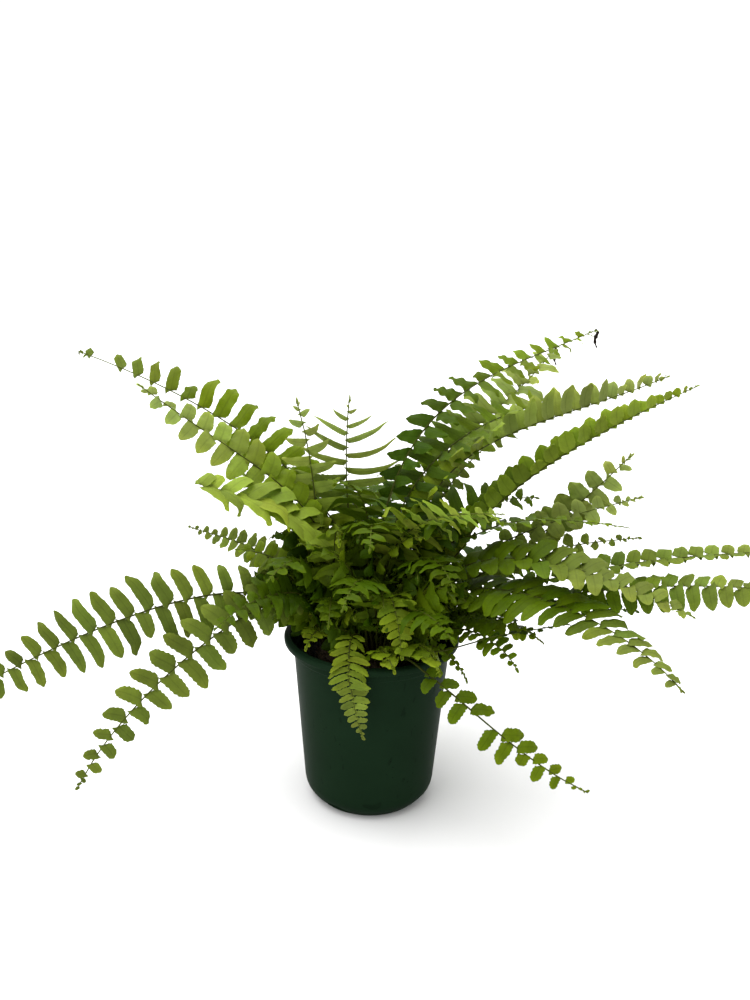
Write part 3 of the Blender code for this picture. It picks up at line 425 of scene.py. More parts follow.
def add_leaf(surface, root, out, across, normal, length, width, shape, tint, chance):
    """One closed, curved blade. across points to the frond's tip and normal is its upper side."""
    u, v = leaf_grid(length)
    half = width * shape["broad"] / 2.0
    long = length * shape["long"]
    far_side = v > 0.0
    # outline
    belly = np.clip(shape["belly"] + chance.uniform(-SPREAD["belly"], SPREAD["belly"]), 0.04, 0.7)
    past = np.clip((u - belly) / (1.03 - belly), 0.0, 1.0)
    body = (1.0 - past ** shape["blunt"]) ** shape["point"] * (1.0 - shape["taper"] * u)
    base = np.where(far_side, 0.86 + 0.14 * ease(u / 0.08),
                    shape["base"] + (1.0 - shape["base"]) * ease(u / 0.2))
    tooth = np.where(np.arange(len(u))[:, None] % 2 == 0, 1.0, -1.0) * (np.abs(v) > 0.99)
    tooth = tooth * shape["teeth"] * chance.uniform(*TEETH_RANGE, size=tooth.shape)
    bend = shape["sickle"] * chance.uniform(*SICKLE_RANGE) * long * (u * u - u)
    flat = half * v * body * base * (1.0 + tooth * 2.0)
    root_zone = 1.0 - ease(u / 0.22)
    ear = np.where(far_side, shape["ear"] * np.abs(v) ** 1.5, -0.08 * np.abs(v))
    x = long * (u - 0.05 * v * v * ease((u - 0.72) / 0.28)) - ear * root_zone * width * 1.6
    # bulge, fall and curl of the midrib; some tips curl under and others bend sideways
    arch = (shape["arch"] + chance.normal(0.0, SPREAD["arch"])) * long
    droop = (shape["droop"] + chance.normal(0.0, SPREAD["droop"])) * long
    z = arch * 4.0 * u * (1.0 - u) - droop * u ** 2.2
    hook = shape["hook"] + max(0.0, chance.normal(-0.02, SPREAD["hook"]))
    z = z - hook * long * ease((u - 0.66) / 0.34) ** 1.5
    x = x - hook * long * 0.35 * ease((u - 0.7) / 0.3) ** 2
    bend = bend + chance.normal(0.0, SPREAD["bend"]) * long * ease((u - 0.6) / 0.4) ** 1.5
    # slope of both halves and ripple of the margins
    fold = shape["fold"] + chance.normal(0.0, SPREAD["fold"])
    z = z + fold * np.abs(flat) * (0.4 + 0.6 * ease(u / 0.3))
    z = z + shape["tile"] * flat * (1.0 - ease(u / 0.7))
    wave = shape["wave"] * chance.uniform(*WAVE_RANGE)
    waves = chance.uniform(*WAVE_COUNTS)
    phases = chance.uniform(0.0, 2.0 * math.pi, size=2)
    phase = np.where(far_side, phases[0], phases[1])
    z = z + wave * half * v * v * np.sin(2.0 * math.pi * waves * u + phase)
    y = flat + bend
    twist = chance.normal(0.0, SPREAD["twist"]) * u
    y, z = y * np.cos(twist) - z * np.sin(twist), y * np.sin(twist) + z * np.cos(twist)
    points = (root + x[..., None] * out + y[..., None] * across + z[..., None] * normal)
    along_way = np.gradient(points, axis=0)
    across_way = np.gradient(points, axis=1)
    handed = float(np.cross(out, across) @ normal)
    up = unit(np.cross(along_way, across_way)) * math.copysign(1.0, handed)
    thick = LEAF_THICKNESS * (1.0 - 0.55 * np.abs(v) ** 4) * (1.0 - 0.4 * u) * np.ones_like(u)
    thick = thick[..., None] / 2.0
    sheets = np.stack([points + up * thick, points - up * thick])
    rows, columns = len(u), v.shape[1]
    # colour: paler underneath, at the tip and along the margin; painted shade darkens the root
    light = 1.0 + 0.22 * ease((u - 0.55) / 0.45) + 0.10 * np.abs(v) ** 4
    # painted shade: the blade is darkened near its root, most along the midrib, where it meets the
    # stem
    light = light * (1.0 - 0.30 * (1.0 - ease(u / 0.14)) * (1.0 - 0.6 * np.abs(v)))
    yellow = np.array(YELLOWING) ** (ease((u - 0.5) / 0.5)[..., None] * np.ones((rows, columns, 1)))
    tints = np.stack([np.broadcast_to(side[None, None, :] * light[..., None] * yellow,
                                      (rows, columns, 3)) for side in tint])
    mark = np.zeros((2, rows, columns, 3))
    mark[..., 0] = (x / MM)[None]
    mark[..., 1] = np.broadcast_to(v, (rows, columns))[None]
    mark[1, ..., 2] = 1.0
    surface.add(sheets.reshape(-1, 3), leaf_faces(rows, columns, handed < 0.0),
                tints.reshape(-1, 3), mark.reshape(-1, 3), 0)


# ---------------------------------------------------------------- stems
STEM_FOOT = 0.00084         # half the stem's width at its foot
STEM_END = 0.00042
STEM_SIDES = 8
STEM_STEP = 0.003
STEM_FLATNESS = 0.86        # its thickness against its width


def add_tube(surface, points, radii, tints, up):
    """A closed round tube along points."""
    points = np.asarray(points, float)
    way = unit(np.gradient(points, axis=0))
    side = np.cross(up, way)
    turn = around(STEM_SIDES)
    ring = (np.cos(turn)[None, :, None] * side[:, None, :]
            + np.sin(turn)[None, :, None] * up[:, None, :] * STEM_FLATNESS)
    rings = points[:, None, :] + ring * np.asarray(radii)[:, None, None]
    count = len(points)
    # side x up = -way, so the ring above runs clockwise seen from the tip
    sides = neighbours(range(STEM_SIDES))
    faces = []
    for k in range(0, (count - 1) * STEM_SIDES, STEM_SIDES):
        faces += [(k + STEM_SIDES + j, k + STEM_SIDES + after, k + after, k + j)
                  for j, after in sides]
    ends = np.stack([points[0] - way[0] * radii[0] * 0.5, points[-1] + way[-1] * radii[-1] * 1.5])
    base = count * STEM_SIDES
    last = base - STEM_SIDES
    for j, after in sides:
        faces += [(j, after, base), (last + after, last + j, base + 1)]
    shades = np.repeat(np.asarray(tints, float), STEM_SIDES, axis=0)
    shades = np.vstack([shades, shades[:1], shades[-1:]])
    marks = np.zeros((count * STEM_SIDES + 2, 3))
    lengths = np.concatenate([[0.0], np.cumsum(np.linalg.norm(np.diff(points, axis=0), axis=1))])
    marks[:base, 0] = np.repeat(lengths / MM, STEM_SIDES)
    marks[:base, 1] = np.tile(turn, count)
    surface.add(np.vstack([rings.reshape(-1, 3), ends]), faces, shades, marks, 1)


def add_scale(surface, root, out, across, length, width, tint):
    """A tiny closed brown scale."""
    lift = unit(np.cross(out, across))
    points = [root - across * width / 2, root + across * width / 2,
              root + out * length * 0.5 + across * width * 0.32 + lift * width * 0.25,
              root + out * length + lift * width * 0.1,
              root + out * length * 0.5 - across * width * 0.32 + lift * width * 0.25,
              root + out * length * 0.4 + lift * width * 0.6]
    faces = [(0, 1, 5), (1, 2, 5), (2, 3, 5), (3, 4, 5), (4, 0, 5), (4, 3, 2, 1, 0)]
    surface.add(points, faces, tint, ORIGIN, 2)


# ---------------------------------------------------------------- fronds
# albedo of a blade's upper and lower side
BRIGHT = ((0.240, 0.312, 0.044), (0.285, 0.350, 0.070))
LIME = ((0.165, 0.225, 0.012), (0.215, 0.270, 0.030))
FRESH = ((0.122, 0.176, 0.005), (0.172, 0.228, 0.018))
MID = ((0.071, 0.117, 0.002), (0.118, 0.168, 0.008))
DULL = ((0.112, 0.150, 0.020), (0.155, 0.190, 0.040))
DEEP = ((0.030, 0.066, 0.001), (0.060, 0.105, 0.003))
PALE = ((0.215, 0.262, 0.062), (0.255, 0.296, 0.090))
SOFT = ((0.160, 0.200, 0.034), (0.205, 0.245, 0.060))
# each frond: its colours at the foot end and the tip end, and what it changes in SHAPE and POSE
STYLES = {
    "frond_left_1": (FRESH, DULL, dict(OVATE, hook=0.12, wave=0.20, point=0.42, blunt=3.4),
                     dict(swing=(0, -30), swing_tip=(0, 30), lift=(-34, 0), stretch=0.5,
                          gone=((0.42, 0.97), (0.86, 0.90)), change=(0.5, 0.9))),
    "frond_left_2": (FRESH, PALE, OVATE, dict(stretch=0.2)),
    "frond_left_3": (LIME, BRIGHT, dict(OBLONG, broad=1.7, long=1.2, arch=0.12, fold=-0.25,
                                        hook=0.06),
                     dict(swing=(-82, -74), lift=(0, 24), stretch=0.7, young=2.4, lean=0.0)),
    "frond_left_4": (DULL, DULL, OVATE, {}),
    "frond_left_5": (DULL, DULL, OBLONG, dict(swing=(-16, 8))),
    "frond_left_6": (DULL, DULL, dict(OBLONG, teeth=0.03, long=1.12), dict(swing=(-10, 12))),
    "frond_left_7": (MID, FRESH, OBLONG, {}),
    "frond_top_1": (MID, PALE, dict(SICKLE, droop=0.24, broad=0.95, point=0.8),
                    dict(stretch=0.9, slim=0.15)),
    "frond_top_2": (FRESH, PALE, dict(SICKLE, broad=1.0), dict(stretch=0.5)),
    "frond_right_1": (DEEP, LIME, dict(SICKLE, base=0.95, long=0.74),
                      dict(swing=(-40, 10), lift=(0, -34), stretch=0.25)),
    "frond_right_2": (MID, PALE, dict(SHELL, broad=1.2), dict(stretch=0.75)),
    "frond_right_3": (DEEP, LIME, dict(SICKLE, broad=1.0), dict(swing=(-26, 0))),
    "frond_right_4": (FRESH, PALE, dict(SHELL, broad=1.18, long=0.92, ear=0.02, base=0.7),
                      dict(swing=(-6, -6), swing_tip=(20, 20), lift=(0, 36), stretch=0.3)),
    "frond_right_5": (MID, LIME, dict(SHELL, broad=1.18, long=0.94, ear=0.02, base=0.7),
                      dict(swing=(-6, -6), swing_tip=(20, 20), lift=(0, 36), stretch=0.45)),
    "frond_right_6": (DULL, DULL, OVATE, {}),
    "frond_right_7": (DULL, PALE, dict(OVATE, broad=1.2), dict(stretch=0.9)),
    "frond_right_8": (DULL, PALE, OVATE, dict(stretch=0.4)),
    "frond_right_9": (DEEP, FRESH, SICKLE, {}),
    "frond_right_10": (FRESH, BRIGHT, SICKLE, dict(roll=-32, swing=(-12, 0))),
    "frond_right_11": (MID, SOFT, SHELL, dict(swing=(10, 10))),
    "frond_right_12": (MID, SOFT, OVATE, dict(swing=(10, 0))),
    "frond_right_13": (MID, SOFT, dict(SHELL, broad=1.25),
                       dict(swing=(24, 12), change=(0.3, 0.6))),
    "frond_right_14": (MID, SOFT, dict(OBLONG, broad=1.15),
                       dict(swing=(26, -20), swing_tip=(52, -44), change=(0.5, 0.8))),
    "frond_right_15": (DEEP, DEEP, OVATE, {}),
    "frond_right_16": (MID, MID, OBLONG, {}),
    "frond_right_17": (MID, FRESH, dict(FAN, teeth=0.035, long=0.98, broad=0.84, taper=0.0,
                                        belly=0.40),
                       dict(swing=(44, -6), stretch=0.25, gone=((0.36, 0.42), (0.33, 0.39)))),
    "frond_right_18": (MID, MID, OVATE, {}),
    "frond_right_19": (DULL, DULL, OVATE, {}),
    "frond_front_1": (LIME, SOFT, dict(OBLONG, teeth=0.04, broad=1.02, taper=0.02),
                      dict(swing=(12, 12))),
    "frond_front_2": (MID, LIME, dict(OBLONG, teeth=0.035, broad=1.2), dict(swing=(12, 12))),
    "frond_front_3": (FRESH, LIME, dict(OBLONG, teeth=0.045), {}),
    "runner": (DEEP, MID, OVATE, {}),
}
DRIED = ("frond_right_1", "frond_right_2")      # their tips have withered
DRIED_TINT = (0.012, 0.008, 0.005)
DRIED_LENGTH = 0.014        # how far a withered end hangs down
DRIED_CURL = 0.0030         # radius of its curl
DRIED_TURN = 5.4            # radians that it curls through
DEFAULT_STYLE = (DEEP, MID, dict(SICKLE, sickle=0.12, broad=1.2, droop=0.16), {})
STEM_TINTS = ((0.026, 0.020, 0.006), (0.030, 0.037, 0.003), (0.062, 0.082, 0.008))


def stem_tints(shares):
    """A stem's colours: brown at the foot, then olive, then green."""
    shares = np.asarray(shares)[:, None]
    brown, olive, green = (np.array(tint) for tint in STEM_TINTS)
    first = brown + (olive - brown) * ease(shares / 0.22)
    return first + (green - olive) * ease((shares - 0.45) / 0.55)


RUNT_SHARE = 0.05           # of leaflets that stay small
RUNT_SIZES = (0.45, 0.75)
LENGTH_RANGE = (0.88, 1.06)
WIDTH_RANGE = (0.92, 1.08)
VALUE_SPREAD = 0.11         # of leaflets' brightness and of their warmth
WARM_SPREAD = 0.03
LEAF_SINK = 0.0004          # of a leaflet's root in its stem
# leaflets at a frond's tip: the gaps between them, how those shrink, and the least leaflet
TIP_GAPS = (0.0016, 0.0045)
TIP_LEAST_GAP = 0.0011
TIP_SHRINK = 0.88
TIP_LEAST_LENGTH = 0.0020
TIP_LEAST_WIDTH = 0.0013
BUD = (0.0032, 0.0020)      # length and width of the last one, at the very tip


def young_leaves(frond, size_factor, most_lean):
    """Smaller and smaller leaflets between the last ones and the stem's end."""
    total = frond.curve.total
    last = {leaf[0]: leaf for leaf in frond.leaves}
    made = []
    place = frond.leaves[-1][1]
    hand = frond.leaves[-1][0]
    gap = place - frond.leaves[-2][1] if len(frond.leaves) > 1 else 0.004
    gap = min(max(gap, TIP_GAPS[0]), TIP_GAPS[1])
    while True:
        gap = max(gap * TIP_SHRINK, TIP_LEAST_GAP)
        place += gap
        hand = -hand
        if place > total - 0.0006 or hand not in last:
            break
        model = last[hand]
        share = (place - model[1]) / max(total - model[1], 1e-6)
        size = min(max(0.85 * (1.0 - share) + 0.16, 0.18) * size_factor, 1.0)
        here = frame_at(frond, place)
        there = frame_at(frond, model[1])
        lean = most_lean * share
        out = sum(here[k] * (model[3] @ there[k]) for k in (1, 2, 3))
        across = sum(here[k] * (model[4] @ there[k]) for k in (1, 2, 3))
        out, across = (unit(out * math.cos(lean) + here[1] * math.sin(lean)),
                       unit(across * math.cos(lean) - out * math.sin(lean)))
        normal = np.cross(across, out) * hand
        length = max(model[6] * size, TIP_LEAST_LENGTH)
        width = max(min(model[7] * size, length * 0.7), TIP_LEAST_WIDTH)
        made.append((hand, place, here[0], out, across, normal, length, width))
    return made


def turned(vectors, axis, angle):
    """Vectors turned about an axis by an angle in degrees."""
    angle = math.radians(angle)
    return [vector * math.cos(angle) + np.cross(axis, vector) * math.sin(angle)
            + axis * (axis @ vector) * (1.0 - math.cos(angle)) for vector in vectors]


def grow(surface, frond, style, chance):
    """Add a frond's stem, leaflets and tip to a surface."""
    foot, end, changes, pose = style
    shape = dict(SHAPE, **changes)
    pose = dict(POSE, **pose)
    total = frond.curve.total
    places = np.linspace(0.0, total, max(6, int(total / STEM_STEP)))
    points, way, side, up = frond_frame(frond, places)
    shares = places / total
    radii = STEM_FOOT + (STEM_END - STEM_FOOT) * shares ** 0.8
    add_tube(surface, points, radii, stem_tints(shares), up)
    first = frond.leaves[0][1]
    young = young_leaves(frond, pose["young"], pose["lean"])
    point, way, side, up = frame_at(frond, total - 0.0012)
    bud = (1.0, total, point, unit(way - up * 0.2), side, up, *BUD)
    for hand, place, root, out, across, normal, length, width in frond.leaves + young + [bud]:
        share = (place - first) / max(total - first, 1e-6)
        one = 0 if hand > 0.0 else 1
        lost = pose["gone"][one]
        if lost[0] < share < lost[1]:
            continue
        way = frame_at(frond, place)[1]
        out, across, normal = turned((out, across, normal), way, pose["roll"])
        handed = math.copysign(1.0, float(np.cross(out, across) @ normal))
        swing = pose["swing"][one]
        if pose["swing_tip"]:
            swing += (pose["swing_tip"][one] - swing) * float(ease(share))
        out, across = turned((out, across), normal, handed * swing)
        out, normal = turned((out, normal), across, -handed * pose["lift"][one])
        size = (1.0 + pose["stretch"] * share ** 1.5) * chance.uniform(*LENGTH_RANGE)
        if chance.uniform() < RUNT_SHARE:
            size *= chance.uniform(*RUNT_SIZES)
        length *= size
        width *= (1.0 - pose["slim"] * share) * chance.uniform(*WIDTH_RANGE)
        from_place, to_place = pose["change"]
        mix = ease((share - from_place) / (to_place - from_place))
        value = chance.normal(1.0, VALUE_SPREAD)
        warm = chance.normal(0.0, WARM_SPREAD)
        shade = np.array([1.0 + warm, 1.0, 1.0 - warm]) * value
        tint = [(np.array(foot[k]) * (1.0 - mix) + np.array(end[k]) * mix) * shade for k in (0, 1)]
        add_leaf(surface, root - out * LEAF_SINK, out, across, normal, length, width, shape,
                 tint, chance)


def add_dried_end(surface, frond):
    """The withered, curled end that hangs from an old frond's tip."""
    total = frond.curve.total
    point, way, side, _ = frame_at(frond, total - 0.001)
    steps = np.linspace(0.0, 1.0, 16)
    ahead = unit(way - DOWN * (way @ DOWN))
    turn = steps * DRIED_TURN
    curl = DRIED_CURL * (1.0 - 0.45 * steps)
    line = (point + ahead * (0.004 * steps)[:, None]
            + DOWN * (DRIED_LENGTH * steps ** 1.3)[:, None]
            + ahead * (curl * np.sin(turn))[:, None]
            + side * (curl * 0.4 * (1.0 - np.cos(turn)))[:, None])
    lift = np.broadcast_to(side, line.shape)
    along = unit(np.gradient(line, axis=0))
    lift = unit(lift - along * (lift * along).sum(1, keepdims=True))
    radii = 0.0005 + 0.0009 * np.sin(steps * math.pi) ** 2 + 0.0007 * np.cos(steps * 12.0) ** 4
    add_tube(surface, line, radii, np.broadcast_to(DRIED_TINT, line.shape), lift)


YOUNG_BARE = 0.26           # share of a young frond's stem below its leaflets
YOUNG_LEAFY = 0.70          # and with leaflets
YOUNG_PULL = 0.42           # of its arch's two handles, as a share of its span
YOUNG_BOW = 0.08            # sideways


def new_frond(foot, azimuth, reach, rise, climb, fall, pairs, leaf, wide, roll, hang, chance):
    """A young frond on a smooth arch, in the same form as one from the frame.

    climb and fall are slopes in degrees where it leaves the crown and at its tip; hang is how far
    its leaflets fall from their plane.
    """
    ahead = direction(azimuth)
    tip = foot + ahead * reach - DOWN * rise
    pull = np.linalg.norm(tip - foot) * YOUNG_PULL
    one = foot + direction(azimuth, climb) * pull
    two = tip - direction(azimuth, fall) * pull
    left = np.cross(ahead, DOWN)
    bow = left * chance.normal(0.0, YOUNG_BOW) * reach
    t = np.linspace(0.0, 1.0, 26)[:, None]
    line = (foot * (1 - t) ** 3 + (one + bow) * 3 * t * (1 - t) ** 2
            + (two + bow) * 3 * t * t * (1 - t) + tip * t ** 3)
    way = unit(np.gradient(line, axis=0))
    side = unit(left - way * (way @ left)[:, None])
    up = np.cross(way, side)
    turn = math.radians(roll)
    made = Frond(line, up * math.cos(turn) + side * math.sin(turn))
    total = made.curve.total
    count = 2 * pairs
    for k in range(count):
        share = (k + 0.5) / count
        place = total * (YOUNG_BARE + YOUNG_LEAFY * share)
        hand = 1.0 if k % 2 else -1.0
        point, way, side, up = frame_at(made, place)
        grown = math.sin(math.pi * min(0.22 + 0.80 * share, 1.0)) ** 0.7
        sweep = math.radians(8.0 + 34.0 * share ** 2 + chance.normal(0.0, 5.0))
        lift = -hang + chance.normal(0.0, 0.16)
        out = side * hand * math.cos(sweep) + way * math.sin(sweep)
        out = unit(out * math.cos(lift) + up * math.sin(lift))
        across = unit(way - out * (way @ out))
        normal = np.cross(across, out) * hand
        length = leaf * max(grown, 0.22) * chance.uniform(0.88, 1.1)
        width = min(wide * (0.5 + 0.5 * grown), 2.2 * total * YOUNG_LEAFY / count)
        made.leaves.append((hand, place, point, out, across, normal, length, width))
    return made


# ---------------------------------------------------------------- materials
class Look:
    """A material's nodes while it is being made."""

    def __init__(self, name):
        self.material = bpy.data.materials.new(name)
        self.material.use_nodes = True
        self.tree = self.material.node_tree
        self.tree.nodes.clear()

    def add(self, kind, inputs=None, **settings):
        """A node. Each input is a value or the socket that it is linked to."""
        node = self.tree.nodes.new("ShaderNode" + kind)
        for key, value in settings.items():
            setattr(node, key, value)
        for key, value in (inputs or {}).items():
            if isinstance(value, bpy.types.NodeSocket):
                self.tree.links.new(value, node.inputs[key])
            else:
                node.inputs[key].default_value = value
        return node

    def maths(self, kind, one, two=0.0, three=0.0):
        """A Math node's result."""
        return self.add("Math", {0: one, 1: two, 2: three}, operation=kind).outputs[0]

    def total(self, start, *parts):
        """A start value plus each part, which is a socket and its factor."""
        for socket, factor in parts:
            start = self.maths("MULTIPLY_ADD", socket, factor, start)
        return start

    def place(self):
        """The place on the object."""
        return self.add("TexCoord").outputs["Object"]

    def noise(self, place, scale, detail, roughness=0.5):
        """Cloudy noise."""
        return self.add("TexNoise", {"Vector": place, "Scale": scale, "Detail": detail,
                                     "Roughness": roughness}).outputs["Fac"]

    def tinted(self, light):
        """The mesh's own colour times a brightness."""
        tint = self.add("Attribute", attribute_name="tint").outputs["Color"]
        return self.add("VectorMath", {0: tint, "Scale": light}, operation="SCALE").outputs[0]

    def skin(self, colour, rough, specular, height, strength, distance):
        """A Principled shader with a bump."""
        bump = self.add("Bump", {"Height": height, "Strength": strength, "Distance": distance})
        return self.add("BsdfPrincipled", {
            "Base Color": colour, "Roughness": rough, "Specular IOR Level": specular,
            "Normal": bump.outputs["Normal"]}).outputs[0]

    def show(self, shader):
        """Put a shader on the surface, and return the material."""
        self.add("OutputMaterial", {"Surface": shader})
        return self.material


LEAF_SPECULAR = 0.06
POT_SPECULAR = 0.012
EARTH_SPECULAR = 0.3
LIGHT_THROUGH = (1.7, 1.75, 0.5)    # colour of the light through a blade against the blade's


def leaf_material(name, clear, roughness):
    """Leaf tissue: veins from the blade's own coordinates, mottling and light through it."""
    look = Look(name)
    mark = look.add("Attribute", attribute_name="mark").outputs["Vector"]
    along, across, _ = look.add("SeparateXYZ", {0: mark}).outputs
    place = look.place()
    off_rib = look.maths("ABSOLUTE", across)
    # side veins, slanted towards the blade's tip, that fade out at the margin
    slant = look.maths("MULTIPLY_ADD", off_rib, -2.2, along)
    vein = look.maths("SINE", look.maths("MULTIPLY", slant, 5.2))
    vein = look.maths("POWER", look.maths("MULTIPLY_ADD", vein, 0.5, 0.5), 3.0)
    fade = look.maths("SUBTRACT", 1.0, look.maths("POWER", off_rib, 6.0))
    vein = look.maths("MULTIPLY", vein, fade)
    rib = look.maths("SUBTRACT", 1.0, look.maths("MULTIPLY", off_rib, 7.0))
    rib = look.maths("MAXIMUM", rib, 0.0)
    mottle = look.noise(place, 420.0, 3.0, 0.6)
    cloud = look.noise(place, 75.0, 2.0)
    light = look.total(0.66, (mottle, 0.30), (cloud, 0.38), (vein, -0.07), (rib, -0.16))
    colour = look.tinted(light)
    rough = look.total(roughness - 0.11, (mottle, 0.22))
    height = look.total(mottle, (vein, -0.35), (rib, -1.1))
    skin = look.skin(colour, rough, LEAF_SPECULAR, height, strength=0.35, distance=0.00025)
    through = look.add("VectorMath", {0: colour, 1: LIGHT_THROUGH}, operation="MULTIPLY")
    glow = look.add("BsdfTranslucent", {"Color": through.outputs[0]})
    return look.show(look.add("MixShader", {"Fac": clear, 1: skin, 2: glow.outputs[0]}).outputs[0])


def stem_material(name):
    """Stem skin: fine streaks over the stem's colour."""
    look = Look(name)
    streak = look.noise(look.place(), 900.0, 2.0)
    colour = look.tinted(look.total(0.62, (streak, 0.7)))
    rough = look.total(0.42, (streak, 0.2))
    return look.show(look.skin(colour, rough, LEAF_SPECULAR, streak, strength=0.4,
                               distance=0.0002))


def pot_material(name):
    """Dark green moulded plastic, with rubbed patches, faint scuffs and dark specks."""
    look = Look(name)
    place = look.place()
    cloud = look.noise(place, 26.0, 4.0, 0.6)
    grain = look.noise(place, 1400.0, 2.0)
    stretch = look.add("Mapping", {"Vector": place, "Rotation": (0.5, 0.2, 0.9),
                                   "Scale": (34.0, 620.0, 80.0)})
    scratch = look.noise(stretch.outputs[0], 1.0, 1.0)
    scuff = look.maths("GREATER_THAN", scratch, 0.71)
    specks = look.add("TexVoronoi", {"Vector": place, "Scale": 190.0, "Randomness": 1.0})
    speck = look.maths("LESS_THAN", specks.outputs["Distance"], 0.11)
    speck = look.maths("MULTIPLY", speck, look.maths("GREATER_THAN", cloud, 0.56))
    colour = look.tinted(look.total(0.75, (cloud, 0.5), (scuff, -0.25), (speck, -0.55)))
    rough = look.total(0.34, (cloud, 0.18), (scuff, 0.12))
    return look.show(look.skin(colour, rough, POT_SPECULAR, grain, strength=0.12,
                               distance=0.0001))


def earth_material(name, fine, roughness):
    """Soil or fibrous crown: the piece's tint broken up by grain."""
    look = Look(name)
    grain = look.noise(look.place(), fine, 5.0, 0.7)
    colour = look.tinted(look.total(0.3, (grain, 1.5)))
    rough = look.total(roughness, (grain, -0.15))
    return look.show(look.skin(colour, rough, EARTH_SPECULAR, grain, strength=0.8,
                               distance=0.0006))


# ---------------------------------------------------------------- pot
POT_SIDES = 160
POT_TINT = (0.0058, 0.0158, 0.0070)
DRAIN_COUNT = 4
DRAIN_AZIMUTH = 57.0
DRAIN_WIDTH = 0.020
DRAIN_HEIGHT = 0.0080
DRAIN_DEPTH = 0.008
DRAIN_STEPS = 12            # straight pieces of an opening's arch
DRAIN_FLATNESS = 0.7        # the arch's rise against half its width
WALL_FOOT = 0.0486          # radius of the wall above the round bottom edge
CUT_BEYOND = 0.004          # how far a cut reaches out of the wall,
CUT_BELOW = 0.003           # and below the ground
POT_SHARP = 38.0


def round_corner(before, corner, after, radius, steps=5):
    """Points of a rounded corner of a profile."""
    before, corner, after = (np.array(p, float) for p in (before, corner, after))
    one = corner + unit(before - corner) * radius
    two = corner + unit(after - corner) * radius
    shares = np.linspace(0.0, 1.0, steps)[:, None]
    return list(one * (1 - shares) ** 2 + corner * 2 * shares * (1 - shares) + two * shares ** 2)


def pot_profile():
    """The pot's outline, from the underside's middle over the lip to the floor's middle."""
    rim, _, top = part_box("pot")[1]
    # radius, height and rounding
    corners = [
        (0.0, 0.0, 0), (0.0388, 0.0, 0.0006), (0.0402, 0.0, 0), (WALL_FOOT, 0.0085, 0.006),
        (0.0575, top - 0.0125, 0.0008), (0.0588, top - 0.0117, 0.0004),
        (0.0592, top - 0.0052, 0.0008), (rim - 0.0004, top - 0.0050, 0.0007),
        (rim, top - 0.0008, 0.0020), (rim - 0.0054, top, 0.0014),
        (rim - 0.0060, top - 0.0050, 0.0008),
        (0.0574, top - 0.0125, 0.0006), (0.0560, top - 0.0135, 0.0008),
        (0.0470, 0.0100, 0.006), (0.0390, 0.0022, 0.0010), (0.0, 0.0022, 0),
    ]
    outline = []
    for k, (radius, height, rounding) in enumerate(corners):
        if rounding and 0 < k < len(corners) - 1:
            outline += round_corner(corners[k - 1][:2], (radius, height), corners[k + 1][:2],
                                    rounding)
        else:
            outline.append(np.array((radius, height)))
    return outline


def build_pot(material):
    """A smooth pot with its lip, collar and drain openings."""
    outline = pot_profile()
    points = []
    rows = []
    for radius, height in outline:
        if radius < TINY:
            rows.append([len(points)] * POT_SIDES)
            points.append((0.0, 0.0, height))
            continue
        rows.append(list(range(len(points), len(points) + POT_SIDES)))
        points += [(radius * math.cos(a), radius * math.sin(a), height)
                   for a in around(POT_SIDES)]
    # quads, and triangles where a row is one point
    faces = [tuple(dict.fromkeys((a, b, d, c))) for one, two in zip(rows, rows[1:])
             for (a, b), (c, d) in zip(neighbours(one), neighbours(two))]
    surface = Surface()
    surface.add(points, faces, POT_TINT, ORIGIN)
    made = surface.build("pot_shell", [material])
    cutters = [drain_cutter(math.radians(DRAIN_AZIMUTH + 360.0 * k / DRAIN_COUNT))
               for k in range(DRAIN_COUNT)]
    for cutter in cutters:
        cut = made.modifiers.new("drain", "BOOLEAN")
        cut.operation = "DIFFERENCE"
        cut.object = cutter
        cut.solver = "EXACT"
    graph = bpy.context.evaluated_depsgraph_get()
    mesh = bpy.data.meshes.new_from_object(made.evaluated_get(graph))
    made.modifiers.clear()
    old = made.data
    made.data = mesh
    bpy.data.meshes.remove(old)
    mesh.name = "pot_shell"
    # the openings' cut faces come without the pot's material and colour
    mesh.materials.clear()
    mesh.materials.append(material)
    mesh.polygons.foreach_set("material_index", [0] * len(mesh.polygons))
    mesh.polygons.foreach_set("use_smooth", [True] * len(mesh.polygons))
    colour = np.array(POT_TINT + (1.0,), dtype=np.float32)
    mesh.attributes["tint"].data.foreach_set("color", np.tile(colour, len(mesh.vertices)))
    for cutter in cutters:
        bpy.data.objects.remove(cutter)
    mesh.set_sharp_from_angle(angle=math.radians(POT_SHARP))
    return made


def drain_cutter(angle):
    """An arched block across the pot's bottom edge."""
    outer = WALL_FOOT + CUT_BEYOND
    inner = WALL_FOOT - DRAIN_DEPTH
    half = DRAIN_WIDTH / 2.0
    rise = half * DRAIN_FLATNESS
    arch = [(-half, -CUT_BELOW), (half, -CUT_BELOW)]
    for k in range(DRAIN_STEPS + 1):
        turn = math.pi * k / DRAIN_STEPS
        arch.append((half * math.cos(turn), DRAIN_HEIGHT - rise + rise * math.sin(turn)))
    count = len(arch)
    points = [(inner, y, z) for y, z in arch] + [(outer, y, z) for y, z in arch]
    faces = [tuple(range(count)), tuple(range(2 * count - 1, count - 1, -1))]
    faces += band(range(count), range(count, 2 * count))
    surface = Surface()
    surface.add(points, faces, POT_TINT, ORIGIN)
    made = surface.build("drain_cutter", [])
    made.data.transform(Matrix.Rotation(angle, 4, "Z"))
    bm = bmesh.new()
    bm.from_mesh(made.data)
    bmesh.ops.recalc_face_normals(bm, faces=bm.faces)
    bm.to_mesh(made.data)
    bm.free()
    return made


# ---------------------------------------------------------------- soil and crowns
SOIL_TINT = (0.0090, 0.0062, 0.0042)
